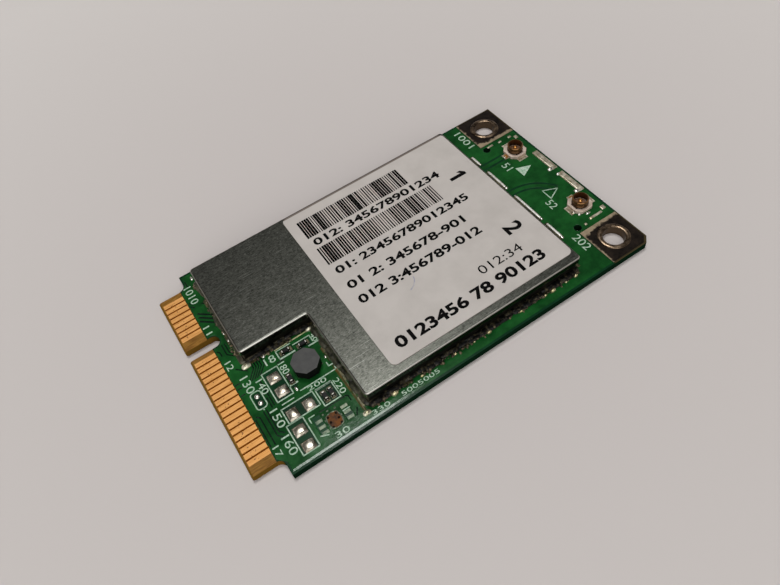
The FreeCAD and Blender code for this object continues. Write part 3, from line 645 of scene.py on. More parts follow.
def ribbonTree():  # a flat ribbon along every line of edges, its bends rounded
    tree, keys, start = newTree("ribbonAlongLines", {
        "Width": "Float", "Height": "Float", "Bend": "Float", "Finish": "Material"})
    lines = addNode(tree, "GeometryNodeMeshToCurve", {"Mesh": start["Geometry"]})
    bends = addNode(tree, "GeometryNodeFilletCurve", {
        "Curve": lines.outputs[0], "Radius": start["Bend"], "Limit Radius": True, "Count": 5}, mode="POLY")
    flat = addNode(tree, "GeometryNodeSetCurveNormal", {"Curve": bends.outputs[0]}, mode="Z_UP")
    section = addNode(tree, "GeometryNodeCurvePrimitiveQuadrilateral", {
        "Width": start["Width"], "Height": start["Height"]}, mode="RECTANGLE")
    ribbon = addNode(tree, "GeometryNodeCurveToMesh", {
        "Curve": flat.outputs[0], "Profile Curve": section.outputs[0], "Fill Caps": True})
    endTree(tree, ribbon.outputs[0], start["Finish"])
    return tree, keys


def dropTree():  # a drop of solder on every point, as wide, deep and high as its size attribute
    tree, keys, start = newTree("dropsOnPoints", {
        "Crown": "Float", "Roundness": "Float", "Rim": "Float", "Finish": "Material"})
    block = addNode(tree, "GeometryNodeMeshCube", {
        "Size": (2, 2, 2), "Vertices X": 11, "Vertices Y": 11, "Vertices Z": 2})
    x, y, z = axes(tree, addNode(tree, "GeometryNodeInputPosition").outputs[0])
    fallX, fallY = [
        calc(tree, "SUBTRACT", 1.0, calc(tree, "POWER", calc(tree, "ABSOLUTE", axis), start["Crown"]))
        for axis in (x, y)]
    dome = calc(tree, "SQRT", times(tree, fallX, fallY))
    aboveRim = times(tree, dome, calc(tree, "SUBTRACT", 1.0, start["Rim"]))
    raised = calc(tree, "ADD", start["Rim"], aboveRim)
    height = times(tree, raised, calc(tree, "GREATER_THAN", z, 0.0))
    drawn = []
    for axis, other in ((x, y), (y, x)):
        pull = times(tree, times(tree, other, other), start["Roundness"])
        drawn.append(times(tree, axis, calc(tree, "SQRT", calc(tree, "SUBTRACT", 1.0, pull))))
    shape = addNode(tree, "ShaderNodeCombineXYZ", {"X": drawn[0], "Y": drawn[1], "Z": height})
    drop = addNode(tree, "GeometryNodeSetPosition", {
        "Geometry": block.outputs[0], "Position": shape.outputs[0]})
    soft = addNode(tree, "GeometryNodeSetShadeSmooth", {"Geometry": drop.outputs[0]})
    size = addNode(tree, "GeometryNodeInputNamedAttribute", {"Name": "size"}, data_type="FLOAT_VECTOR")
    drops = addNode(tree, "GeometryNodeInstanceOnPoints", {
        "Points": start["Geometry"], "Instance": soft.outputs[0], "Scale": size.outputs[0]})
    endTree(tree, drops.outputs[0], start["Finish"])
    return tree, keys


def barTree():  # upright bars of uneven width along X
    tree, keys, start = newTree("unevenBars", {
        "Count": "Int", "Pitch": "Float", "Thin": "Float", "Thick": "Float", "Skew": "Float",
        "Bar Height": "Float", "Ink": "Float", "Seed": "Int", "Finish": "Material"})
    step = addNode(tree, "ShaderNodeCombineXYZ", {"X": start["Pitch"]})
    row = addNode(tree, "GeometryNodeMeshLine", {"Count": start["Count"], "Offset": step.outputs[0]})
    chance = addNode(tree, "FunctionNodeRandomValue", {"Seed": start["Seed"]}).outputs[1]
    extra = times(tree, calc(tree, "POWER", chance, start["Skew"]),
                  calc(tree, "SUBTRACT", start["Thick"], start["Thin"]))
    scale = addNode(tree, "ShaderNodeCombineXYZ", {
        "X": calc(tree, "ADD", start["Thin"], extra), "Y": start["Bar Height"], "Z": start["Ink"]})
    bar = addNode(tree, "GeometryNodeMeshCube", {"Size": (1, 1, 1)})
    bars = addNode(tree, "GeometryNodeInstanceOnPoints", {
        "Points": row.outputs[0], "Instance": bar.outputs[0], "Scale": scale.outputs[0]})
    endTree(tree, bars.outputs[0], start["Finish"])
    return tree, keys


def discTree():  # a low round disc on every point
    tree, keys, start = newTree("discsOnPoints", {
        "Radius": "Float", "Depth": "Float", "Sides": "Int", "Finish": "Material"})
    disc = addNode(tree, "GeometryNodeMeshCylinder", {
        "Vertices": start["Sides"], "Radius": start["Radius"], "Depth": start["Depth"]})
    discs = addNode(tree, "GeometryNodeInstanceOnPoints", {
        "Points": start["Geometry"], "Instance": disc.outputs[0]})
    endTree(tree, discs.outputs[0], start["Finish"])
    return tree, keys


ribbons, drops, bars, discs = ribbonTree(), dropTree(), barTree(), discTree()
print("node trees made")


def linesMesh(name, lines):  # each line a list of points, closed where the first comes again at its end
    vertices, edges = [], []
    for line in lines:
        closed = len(line) > 2 and (line[0] - line[-1]).length < samePoint
        points = line[:-1] if closed else line
        first = len(vertices)
        vertices += points
        edges += [(first + i, first + i + 1) for i in range(len(points) - 1)]
        if closed:
            edges.append((first + len(points) - 1, first))
    mesh = bpy.data.meshes.new(name)
    mesh.from_pydata(vertices, edges, [])
    return mesh


def pointsMesh(name, points, sizes=None):
    mesh = bpy.data.meshes.new(name)
    mesh.from_pydata(points, [], [])
    if sizes:
        attribute = mesh.attributes.new("size", "FLOAT_VECTOR", "POINT")
        for item, size in zip(attribute.data, sizes):
            item.vector = size
    return mesh


def layRibbons(name, lines, look, finishName, base=0.0, place=onBoard):
    height = base + look["height"] / 2
    raised = [[place(along, across, height) for along, across in line] for line in lines]
    return runTree(name, linesMesh(name, raised), ribbons, {
        "Width": look["width"] * mm, "Height": look["height"] * mm, "Bend": look["bend"] * mm,
        "Finish": finishes[finishName]})


def layDrops(name, places, look):  # places hold a foot point and half sizes
    points = [point for point, size in places]
    sizes = [size for point, size in places]
    return runTree(name, pointsMesh(name, points, sizes), drops, {
        "Crown": look["crown"], "Roundness": look["roundness"], "Rim": look["rim"],
        "Finish": finishes[look["finish"]]})


def layDiscs(name, places, look, finishName):
    return runTree(name, pointsMesh(name, places), discs, {
        "Radius": look["radius"] * mm, "Depth": look["depth"] * mm, "Sides": look["sides"],
        "Finish": finishes[finishName]})


# Outlines and sheets

def rectangle(low, high, grow=0.0):
    return [(low[0] - grow, low[1] - grow), (high[0] + grow, low[1] - grow),
            (high[0] + grow, high[1] + grow), (low[0] - grow, high[1] + grow)]


def boxLine(a1, b1, a2, b2):  # a rectangle that comes back to its start
    return rectangle((a1, b1), (a2, b2)) + [(a1, b1)]


def arcLine(centre, radius, fromAngle, toAngle, steps=14):
    turns = [math.radians(fromAngle + (toAngle - fromAngle) * i / steps) for i in range(steps + 1)]
    return [(centre[0] + radius * math.cos(t), centre[1] + radius * math.sin(t)) for t in turns]


def circle(along, across, radius, sides=24):
    return arcLine((along, across), radius, 0, 360 - 360 / sides, sides - 1)


def slitOutline(line, width, sharpest=0.5):  # the outline of a strip that follows a line
    points = [Vector(point) for point in line]
    left, right = [], []
    for i, point in enumerate(points):
        ahead = points[min(i + 1, len(points) - 1)] - point
        behind = point - points[max(i - 1, 0)]
        ahead = ahead.normalized() if ahead.length else behind.normalized()
        behind = behind.normalized() if behind.length else ahead
        middle = (ahead + behind).normalized()
        reach = width / 2 / max(sharpest, middle.dot(ahead))
        normal = Vector((-middle.y, middle.x)) * reach
        end = Vector((0, 0))
        if i == 0:
            end = -middle * (width / 2)
        if i == len(points) - 1:
            end = middle * (width / 2)
        left.append(tuple(point + normal + end))
        right.append(tuple(point - normal + end))
    return right + left[::-1]


def tidyNormals(mesh):
    shape = bmesh.new()
    shape.from_mesh(mesh)
    bmesh.ops.remove_doubles(shape, verts=shape.verts, dist=samePoint / 2)
    bmesh.ops.recalc_face_normals(shape, faces=shape.faces)
    shape.to_mesh(mesh)
    shape.free()


def sheetWithHoles(name, loops, height, finishName, place=onBoard):
    # each loop is a pair of outlines, at the foot and at the crest of the sheet's sloped edge
    vertices, faces, feet, crests = [], [], [], []
    for foot, crest in loops:
        count = len(foot)
        footStart = len(vertices)
        vertices += [place(a, b) for a, b in foot]
        crestStart = len(vertices)
        vertices += [place(a, b, height) for a, b in crest]
        for i in range(count):
            j = (i + 1) % count
            faces.append((footStart + i, footStart + j, crestStart + j, crestStart + i))
        feet += range(footStart, footStart + count)
        crests += range(crestStart, crestStart + count)
    for keys, side in ((feet, 0), (crests, 1)):
        outlines = [[Vector((a, b, 0)) for a, b in loop[side]] for loop in loops]
        faces += [tuple(keys[i] for i in triangle) for triangle in tessellate_polygon(outlines)]
    mesh = bpy.data.meshes.new(name)
    mesh.from_pydata(vertices, [], faces)
    tidyNormals(mesh)
    return newPiece(name, mesh, finishName)


def prismMesh(name, outline, rise):  # an upright slice between an outline and the same one higher up
    foot = [Vector(point) for point in outline]
    top = [point + Vector((0, 0, rise)) for point in foot]
    count = len(foot)
    sides = [(i, (i + 1) % count, count + (i + 1) % count, count + i) for i in range(count)]
    floor = [tuple(triangle) for triangle in tessellate_polygon([top])]
    lid = [tuple(count + i for i in triangle) for triangle in floor]
    mesh = bpy.data.meshes.new(name)
    mesh.from_pydata(foot + top, [], sides + lid + floor)
    tidyNormals(mesh)
    return mesh


# Copper pour under the lacquer, drawn back from the edges and round every footprint

pour = {
    "height": 0.03, "slope": 0.16, "edgeSlope": 0.24, "edgeMargin": 0.26, "padGap": 0.05,
    "left": 2.9, "shoulder": 3.75, "leftSlope": 0.06, "tongueSide": 12.6, "root": 13.5,
    "key": (3.25, 3.85), "keyReach": 0.9,
    "holes": [(45.75, 8.6, 0.5), (45.75, -8.6, 0.5)],
    "windows": [
        (5.95, -7.16, 7.68, -3.35), (5.82, -10.02, 9.37, -8.3), (5.42, -13.84, 7.16, -10.26),
        (3.9, -6.72, 4.76, -4.82), (9.82, -10.47, 11.58, -8.53), (8.55, -2.72, 10.35, -1.78),
        (10.6, -3.05, 12.35, -2.12), (7.92, -6.7, 8.6, -5.25), (7.85, -13.1, 8.75, -10.95),
        (10.9, -13.2, 11.75, -12.3),
    ],
    "slits": [[(42.6, 6.66), (47.1, 6.66)], [(42.6, 5.82), (46.6, 5.82)]],
    "slitWidth": 0.28,
    "curve": {"start": 42.6, "centre": (43.6, -4.45), "radii": (5.45, 4.6), "turn": 62},
}


def pourOutline(inset, padInset, leftInset):
    half = boardHigh.y / mm - pour["edgeMargin"] - inset
    end = alongOf(boardHigh) - pour["edgeMargin"] - inset
    padStart = alongOf(padLow) - pour["padGap"] - padInset
    padSide = padLow.y / mm - pour["padGap"] - padInset
    left, shoulder = pour["left"] + leftInset, pour["shoulder"] + leftInset
    side, root = pour["tongueSide"] - leftInset, pour["root"]
    key, reach = pour["key"], pour["keyReach"] + leftInset
    outline = [(shoulder, -half), (padStart, -half), (padStart, -padSide), (end, -padSide),
               (end, padSide), (padStart, padSide), (padStart, half), (shoulder, half),
               (shoulder, root), (left, side), (left, key[1] + reach)]
    outline += arcLine(key, reach, 90, -90)
    return outline + [(left, key[1] - reach), (left, -side), (shoulder, -root)]


def layPour():
    slope, narrow = pour["slope"], pour["slitWidth"]
    loops = [(pourOutline(0, 0, 0), pourOutline(pour["edgeSlope"], slope / 2, pour["leftSlope"]))]
    for along, across, radius in pour["holes"]:
        loops.append((circle(along, across, radius), circle(along, across, radius + slope / 3)))
    for a1, b1, a2, b2 in pour["windows"]:
        loops.append((rectangle((a1, b1), (a2, b2)), rectangle((a1, b1), (a2, b2), slope / 2)))
    slits = list(pour["slits"])
    curve = pour["curve"]
    for radius in curve["radii"]:
        arc = arcLine(curve["centre"], radius, 90, 90 - curve["turn"])
        slits.append([(curve["start"], arc[0][1])] + arc)
    for line in slits:
        loops.append((slitOutline(line, narrow), slitOutline(line, narrow + 2 * (slope / 3))))
    sheetWithHoles("ground_pour", loops, pour["height"], "pourLacquer")


layPour()
print("pour laid")


# White ink on the board

silkLines = {
    "width": 0.13, "height": 0.014, "bend": 0.01,
    "boxes": [(5.87, -7.24, 7.76, -3.27), (5.74, -10.1, 9.45, -8.22), (5.34, -13.92, 7.24, -10.18),
              (9.74, -10.55, 11.66, -8.45)],
    "strokes": [
        [(8.45, -7.45), (12.8, -7.45)], [(6.08, -7.76), (7.55, -7.76)],
        [(10.3, -1.62), (8.45, -1.62), (8.45, -2.78)], [(10.4, -2.0), (12.52, -2.0), (12.52, -2.9)],
        [(12.4, -6.15), (12.4, -6.7), (12.95, -6.7)], [(12.9, -7.05), (12.9, -7.45)],
        [(4.33, -6.87), (4.33, -7.15)],
        [(8.35, -10.75), (7.65, -10.75), (7.65, -11.4)], [(7.7, -13.15), (8.55, -13.5)],
        [(10.95, -12.1), (11.8, -12.1)],
        [(46.46, -1.5), (48.2, -2.32), (46.46, -3.15), (46.46, -1.5)],
    ],
}
silkBars = {
    "width": 0.2, "height": 0.014, "bend": 0.01,
    "strokes": [[(8.4, -2.78), (10.35, -2.78)], [(11.8, -3.2), (13.1, -3.2)], [(7.72, -6.3), (8.8, -6.3)],
                [(9.74, -8.38), (11.66, -8.38)]],
}
roundBox = {"width": 0.13, "height": 0.014, "bend": 0.35, "box": (3.74, -6.87, 4.92, -4.66)}
arrow = {"corners": [(46.42, 1.85), (48.33, 2.8), (46.42, 3.6)], "height": 0.014}
silkNumbers = {
    "height": 0.014,
    "turned": [
        ("1010", 3.25, 10.1, 4.2, 12.9), ("11", 3.0, 5.1, 3.75, 6.25), ("12", 3.1, -0.7, 3.85, 0.45),
        ("130", 3.65, -4.55, 4.6, -2.35), ("140", 4.95, -5.55, 5.75, -3.65), ("150", 4.6, -9.95, 5.5, -7.7),
        ("160", 4.25, -13.25, 5.2, -11.0), ("17", 3.05, -12.6, 3.75, -11.4), ("180", 7.9, -4.75, 8.7, -3.2),
        ("220", 11.8, -10.4, 12.5, -8.4), ("40", 12.6, -3.1, 13.1, -2.0), ("1001", 44.1, 10.3, 45.1, 13.7),
        ("202", 44.1, -11.7, 45.15, -9.3), ("51", 45.3, 3.85, 46.35, 5.1), ("52", 45.35, -4.6, 46.4, -3.25),
    ],
    "level": [
        ("18", 6.85, -2.65, 8.1, -1.7), ("200", 9.2, -8.1, 11.4, -7.55), ("30", 9.0, -14.4, 10.6, -13.7),
        ("330", 13.3, -14.42, 15.4, -13.9), ("5005005", 16.9, -14.42, 21.6, -13.9),
    ],
}
numeralCut = {  # a one that stands alone gets a flag, all else comes from the built-in typeface
    "depth": 0.5, "smoothness": 3,
    "one": [(0.32, 0.0), (0.72, 0.0), (0.72, 1.0), (0.38, 1.0), (0.0, 0.8), (0.0, 0.58), (0.32, 0.74)],
}


def numberMesh(text, height, weight=0.0):  # plain numerals as a thin solid that fills a unit square
    curve = bpy.data.curves.new("numerals", "FONT")
    curve.body = text
    curve.extrude = numeralCut["depth"]
    curve.offset = weight
    curve.resolution_u = numeralCut["smoothness"]
    holder = addObject("numerals", curve)
    mesh = finishedMesh(holder)
    bpy.data.objects.remove(holder)
    low, high = spanOf([v.co for v in mesh.vertices])
    size = high - low
    mesh.transform(Matrix.Translation(-low))
    mesh.transform(Matrix.Diagonal((1 / size.x, 1 / size.y, height * mm / size.z, 1)))
    return mesh


def oneMesh(height):
    width = max(x for x, y in numeralCut["one"])
    return prismMesh("one", [(x / width, y, 0.0) for x, y in numeralCut["one"]], height * mm)


def placeNumbers(text, corner, far, turned, height, weight=0.0):  # fitted between two corners
    mesh = oneMesh(height) if text == "1" else numberMesh(text, height, weight)
    size = far - corner
    if turned:  # tops point away from the contacts
        mesh.transform(Matrix.Translation((0, 1, 0)) @ Matrix.Rotation(math.radians(-90), 4, "Z"))
    mesh.transform(Matrix.Diagonal((size.x, size.y, 1, 1)))
    mesh.transform(Matrix.Translation(corner))
    return mesh


def joinMeshes(name, meshes):
    vertices, faces = [], []
    for mesh in meshes:
        first = len(vertices)
        vertices += [v.co.copy() for v in mesh.vertices]
        faces += [tuple(first + i for i in polygon.vertices) for polygon in mesh.polygons]
        bpy.data.meshes.remove(mesh)
    joined = bpy.data.meshes.new(name)
    joined.from_pydata(vertices, [], faces)
    return joined


def printBoard():
    base = pour["height"]
    boxes = [boxLine(*box) for box in silkLines["boxes"]]
    layRibbons("silk_lines", boxes + silkLines["strokes"], silkLines, "boardInk", base=base)
    layRibbons("silk_bars", silkBars["strokes"], silkBars, "boardInk", base=base)
    layRibbons("silk_round_box", [boxLine(*roundBox["box"])], roundBox, "boardInk", base=base)
    numerals = []
    for turned, key in ((True, "turned"), (False, "level")):
        for text, a1, b1, a2, b2 in silkNumbers[key]:
            corner, far = onBoard(a1, b1, base), onBoard(a2, b2, base)
            numerals.append(placeNumbers(text, corner, far, turned, silkNumbers["height"]))
    newPiece("silk_numbers", joinMeshes("silk_numbers", numerals), "boardInk")
    corners = [onBoard(a, b, base) for a, b in arrow["corners"]]
    newPiece("silk_arrow", prismMesh("silk_arrow", corners, arrow["height"] * mm), "boardInk")


printBoard()
print("board printed")


# Dark gaps between the coated tracks

gaps = {
    "width": 0.15, "height": 0.006, "bend": 0.25,
    "lines": [
        [(4.4, -3.3), (5.55, -2.0), (5.55, -0.9)], [(4.75, -3.3), (5.85, -2.05), (5.85, -0.9)],
        [(5.1, -3.3), (6.15, -2.1), (6.15, -0.9)], [(5.4, -3.3), (6.45, -2.15), (6.45, -0.9)],
        [(5.75, -3.25), (6.8, -2.2), (6.8, -0.9)],
        [(4.15, -7.2), (4.15, -10.5), (4.6, -10.95)], [(4.5, -7.2), (4.5, -10.2), (4.95, -10.65)],
        [(5.15, -6.0), (5.15, -7.4)], [(5.45, -3.6), (5.45, -7.3)], [(7.9, -3.0), (8.9, -3.0)],
        [(8.9, -10.8), (12.3, -10.8), (12.3, -11.6)], [(12.4, -12.6), (11.9, -13.4)],
        [(3.85, 2.9), (3.85, 1.4), (4.9, 0.35)], [(4.2, 2.9), (4.2, 1.5), (4.95, 0.75)],
        [(3.85, -0.9), (4.9, -1.9)], [(3.85, 12.9), (3.85, 13.9)], [(4.3, 9.7), (4.95, 9.05)],
        [(3.05, 10.6), (3.5, 10.15)], [(3.0, 10.0), (3.4, 9.6)], [(3.05, 2.4), (3.3, 2.1), (3.3, 1.5)],
        [(3.05, -7.6), (3.05, -11.2)], [(3.2, -7.35), (3.55, -7.65), (3.55, -11.2)],
        [(2.95, -2.75), (3.6, -2.75)], [(2.95, -3.35), (3.55, -3.35)], [(2.95, -4.25), (3.5, -4.25)],
    ],
}
wideGaps = {
    "width": 0.24, "height": 0.006, "bend": 0.25,
    "lines": [[(3.3, 8.55), (4.95, 7.15)], [(3.2, 8.0), (4.95, 6.48)], [(3.1, 7.4), (4.9, 5.85)]],
}
contactGaps = {"width": 0.2, "height": 0.004, "bend": 0.01, "widest": 0.5, "past": 0.08}


def layGaps():
    layRibbons("track_gaps", gaps["lines"], gaps, "gapLacquer", base=pour["height"])
    layRibbons("wide_gaps", wideGaps["lines"], wideGaps, "gapLacquer", base=pour["height"])
    contacts = sorted(solidBoxes("edge_contacts_top"), key=lambda box: box[0].y)
    between = []
    for (low, high), following in zip(contacts, contacts[1:]):
        nextLow = following[0]
        if nextLow.y - high.y < contactGaps["widest"] * mm:
            across = (high.y + nextLow.y) / 2 / mm
            between.append([(alongOf(low), across), (alongOf(high) + contactGaps["past"], across)])
    layRibbons("contact_gaps", between, contactGaps, "gapBrown")


layGaps()
print("gaps laid")


# Flux: a brown stain at the foot of the shield and a pale film by the resistors

stain = {
    "width": 0.34, "height": 0.008, "bend": 0.1,
    "lines": [[(12.86, -4.2), (12.84, -8.0), (12.88, -13.4)]],
}
film = {
    "width": 0.15, "height": 0.02, "bend": 0.05,
    "lines": [[(8.4, -1.42), (10.2, -1.4), (12.5, -1.36)], [(7.15, -1.3), (7.75, -1.22)],
              [(4.72, 1.3), (4.76, -0.7)]],
}
layRibbons("flux_stain", stain["lines"], stain, "fluxStain", base=pour["height"])
layRibbons("flux_film", film["lines"], film, "fluxFilm", base=pour["height"])
print("flux laid")


# Solder: drops on the empty footprints, at the feet of the shield and beside the pads

roundDrop = {"crown": 2.0, "roundness": 0.45, "rim": 0.05}
pillow = {"crown": 2.4, "roundness": 0.14, "rim": 0.1, "finish": "domeSolder", "rise": 0.27}
dot = {"crown": 2.0, "roundness": 0.5, "rim": 0.05, "finish": "brightSolder", "rise": 0.16}
spots = {
    **roundDrop, "finish": "brightSolder", "seed": 7,
    "drops": [  # along, across, length, width, height
        (7.1, -1.35, 0.42, 0.4, 0.2), (8.25, -7.0, 0.4, 0.62, 0.16), (12.65, -5.5, 0.32, 0.4, 0.14),
        (49.75, 0.72, 0.9, 0.55, 0.2), (49.7, -4.1, 0.8, 0.6, 0.2), (49.9, -0.55, 0.6, 0.4, 0.16),
        (46.6, 5.95, 0.34, 0.3, 0.2), (46.95, -6.55, 0.3, 0.45, 0.2), (47.35, -7.2, 0.6, 0.3, 0.18),
        (48.25, -7.65, 0.7, 0.3, 0.16), (4.75, 13.9, 0.3, 0.7, 0.12), (4.8, 11.1, 0.25, 0.6, 0.12),
        (4.72, 4.2, 0.3, 0.5, 0.12), (4.78, 2.95, 0.32, 0.36, 0.16),
    ],
    "bead": (0.34, 0.5, 0.2), "beadSwell": (0.8, 1.2),  # beads by the shield's feet at the antenna end
    "beadOut": 1.55, "beadAside": 0.2, "beadSpan": 9.0, "beadEnd": 0.5,
}
cornerSpots = {  # dull white drops at the corners of the shield
    "crown": 1.6, "roundness": 0.35, "rim": 0.03, "finish": "cornerSolder",
    "drops": [(5.02, -1.24, 1.15, 0.76, 0.3), (12.9, -1.3, 0.9, 0.5, 0.3), (12.88, -13.76, 1.0, 0.6, 0.28)],
}
landCrumbs = {  # dull crumbs of solder round the bare copper land
    **roundDrop, "finish": "dullTin",
    "drops": [(9.05, -11.25, 0.3, 0.26, 0.09), (9.65, -11.15, 0.34, 0.22, 0.09),
              (10.45, -11.3, 0.3, 0.28, 0.09), (8.95, -12.0, 0.2, 0.3, 0.09),
              (8.98, -12.95, 0.22, 0.26, 0.09), (10.66, -12.3, 0.2, 0.34, 0.09)],
}
nearBeads = {  # yellowed drops along the near foot of the shield
    **roundDrop, "finish": "warmSolder", "line": -13.66, "halves": (1 / 2, 1 / 3, 1 / 2),
    "drops": [(16.4, 0.85), (19.8, 0.5), (24.1, 0.42), (26.6, 0.3), (28.6, 0.6), (33.0, 0.46), (36.4, 0.42),
              (37.5, 0.7), (39.4, 0.34), (40.8, 0.55)],  # along, length
}
toes = {**roundDrop, "finish": "frostSolder", "swell": 1.1, "height": 1.2}
tinnedBars = {  # flat tinned lands by the mounting pads, and a skin of solder on the ground strips
    "crown": 6.0, "roundness": 0.06, "rim": 0.3, "finish": "tinnedCopper", "skin": 0.12, "swell": 1.25,
    "drops": [
        (46.5, 8.85, 0.95, 0.3, 0.09), (48.0, 8.72, 0.5, 0.28, 0.09), (49.6, 8.7, 0.5, 0.34, 0.09),
        (50.25, 8.15, 0.5, 0.6, 0.08), (48.7, -8.42, 2.0, 0.34, 0.09), (50.2, -8.0, 0.62, 0.62, 0.09),
        (46.85, -8.75, 0.36, 0.3, 0.09),
    ],
}
solderEdges = {  # bright rim of solder along the lands of the antenna end
    "crown": 3.0, "roundness": 0.1, "rim": 0.1, "finish": "frostSolder",
    "along": 43.38, "width": 0.34, "height": 0.14,
    "spans": [(8.83, 6.85), (5.5, 1.54), (0.08, -5.1), (-5.75, -8.77)],
}
coverCorner = (13.4, -0.9)  # inner corner of the cover, where the board lies open
seam = {  # uneven dark fillet at the foot of the shield: solder painted dark, as the shade that lies there
    "crown": 2.0, "roundness": 0.35, "rim": 0.05, "finish": "seamSolderShaded", "seed": 5, "inset": 0.7,
    "width": 1.13, "height": 0.34, "step": (0.5, 1.1), "length": (1.2, 2.6), "uneven": (0.72, 1.1),
}
# the fillet by the walls that face the contacts is painted lighter, as if lit
sideSeam = {**seam, "finish": "seamSolderLit"}
flecks = {  # small bits of solder and flux along the seam
    **roundDrop, "finish": "fleckSolder", "seed": 12, "length": (0.12, 0.45), "rise": 0.6,
    "fields": [(14.0, -13.85, 41.5, -13.25, 85), (5.3, -1.4, 13.2, -0.85, 34),
               (4.45, 0.2, 5.0, 13.0, 36)],  # corners, count
}


def footOf(low, high):
    return Vector(((low.x + high.x) / 2, (low.y + high.y) / 2, low.z))


def dropAt(along, across, length, width, height):  # sizes in mm
    return onBoard(along, across), (length / 2 * mm, width / 2 * mm, height * mm)


def listedDrops(look):
    return [dropAt(*numbers) for numbers in look["drops"]]


def landDrops(nodeName, rise, swell=1.0):  # a drop over each land of a node
    places = []
    for low, high in solidBoxes(nodeName):
        half = (high - low) / 2
        places.append((footOf(low, high), (half.x * swell, half.y, rise * mm)))
    return places


def antennaBeads():
    wander = random.Random(spots["seed"])
    places = []
    for low, high in solidBoxes("shield_solder"):
        if low.x > coverHigh.x - spots["beadEnd"] * mm and abs(low.y) < spots["beadSpan"] * mm:
            foot = Vector((high.x + spots["beadOut"] * mm, low.y + spots["beadAside"] * mm, low.z))
            swell = wander.uniform(*spots["beadSwell"])
            places.append((foot, tuple(part * swell * mm / 2 for part in spots["bead"])))
    return places


def resistorToes():  # on the ends of the small parts that lie open
    corner = onBoard(*coverCorner)
    places = []
    for low, high in solidBoxes("chip_ends"):
        if high.x < corner.x and high.y < corner.y:
            half = (high - low) / 2 * toes["swell"]
            places.append((footOf(low, high), (half.x, half.y, (high.z - low.z) * toes["height"])))
    return places


def laySolder():
    places = landDrops("spare_capacitor_lands", pillow["rise"])
    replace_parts(layDrops("solder_pillows", places, pillow), "spare_capacitor_lands")
    places = landDrops("spare_resistor_lands", dot["rise"])
    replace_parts(layDrops("solder_dots", places, dot), "spare_resistor_lands")
    layDrops("solder_spots", listedDrops(spots) + antennaBeads(), spots)
    layDrops("corner_spots", listedDrops(cornerSpots), cornerSpots)
    layDrops("land_crumbs", listedDrops(landCrumbs), landCrumbs)
    beads = [(onBoard(along, nearBeads["line"]), tuple(length * part * mm for part in nearBeads["halves"]))
             for along, length in nearBeads["drops"]]
    layDrops("near_beads", beads, nearBeads)
    layDrops("solder_toes", resistorToes(), toes)
    strips = landDrops("ground_strips", tinnedBars["skin"], tinnedBars["swell"])
    layDrops("tinned_bars", listedDrops(tinnedBars) + strips, tinnedBars)
    edges = [dropAt(solderEdges["along"], (start + end) / 2, solderEdges["width"], start - end,
                    solderEdges["height"]) for start, end in solderEdges["spans"]]
    layDrops("solder_edges", edges, solderEdges)


def laySeam():
    wander = random.Random(seam["seed"])
    left, right = alongOf(coverLow), alongOf(coverHigh)
    near, far = coverLow.y / mm, coverHigh.y / mm
    side, step = coverCorner
    walls = [  # start, end, outward direction, kind of seam: dark in painted shade, dull painted lighter as if lit
        ((side, near), (right, near), (0, -1), "dark"), ((left, far), (right, far), (0, 1), "dark"),
        ((left, step), (left, far), (-1, 0), "dull"), ((left, step), (side, step), (0, -1), "dark"),
        ((side, near), (side, step), (-1, 0), "dull"),
    ]
    places = {"dark": [], "dull": []}
    for start, end, outward, kind in walls:
        run = Vector(end) - Vector(start)
        reach = 0.0
        while reach < run.length:
            length = wander.uniform(*seam["length"])
            width = seam["width"] * wander.uniform(*seam["uneven"])
            height = seam["height"] * wander.uniform(*seam["uneven"])
            middle = min(reach + length / 2, run.length - length / 2)
            spot = Vector(start) + run.normalized() * middle + Vector(outward) * (width / 2 - seam["inset"])
            size = (length, width) if run.x else (width, length)
            places[kind].append(dropAt(*spot, *size, height))
            reach += wander.uniform(*seam["step"])
    layDrops("shield_seam", places["dark"], seam)
    layDrops("side_seam", places["dull"], sideSeam)


def layFlecks():
    wander = random.Random(flecks["seed"])
    places = []
    for a1, b1, a2, b2, count in flecks["fields"]:
        for i in range(count):
            along, across = wander.uniform(a1, a2), wander.uniform(b1, b2)
            length, width = wander.uniform(*flecks["length"]), wander.uniform(*flecks["length"])
            height = pour["height"] + min(length, width) * flecks["rise"]
            places.append(dropAt(along, across, length, width, height))
    layDrops("seam_flecks", places, flecks)


laySolder()
laySeam()
layFlecks()
print("solder laid")


# Bare copper land: the holes that lead heat through it, and the coat that laps over its border

vias = {
    "radius": 0.15, "depth": 0.012, "sides": 12, "columns": 2, "rows": 3,
    "pitchAlong": 0.96, "pitchAcross": 0.62, "shift": (-0.05, -0.08),
}
landCoat = {  # leaves a scalloped opening
    "height": 0.012, "margins": (0.02, 0.1), "squareness": 3.0, "lobes": 8, "scallop": 0.07, "steps": 72,
}
landRim = {"width": 0.11, "height": 0.016, "bend": 0.01}  # dull tin round that opening


def layVias():
    middle = (landLow + landHigh) / 2
    shiftAlong, shiftAcross = vias["shift"]
    places = []
    for i in range(vias["columns"]):
        for j in range(vias["rows"]):
            x = (i - (vias["columns"] - 1) / 2) * vias["pitchAlong"] + shiftAlong
            y = (j - (vias["rows"] - 1) / 2) * vias["pitchAcross"] + shiftAcross
            places.append(Vector((middle.x + x * mm, middle.y + y * mm, landHigh.z)))
    # the holes are dark discs: painted shade
    layDiscs("thermal_vias", places, vias, "viaHoleShade")


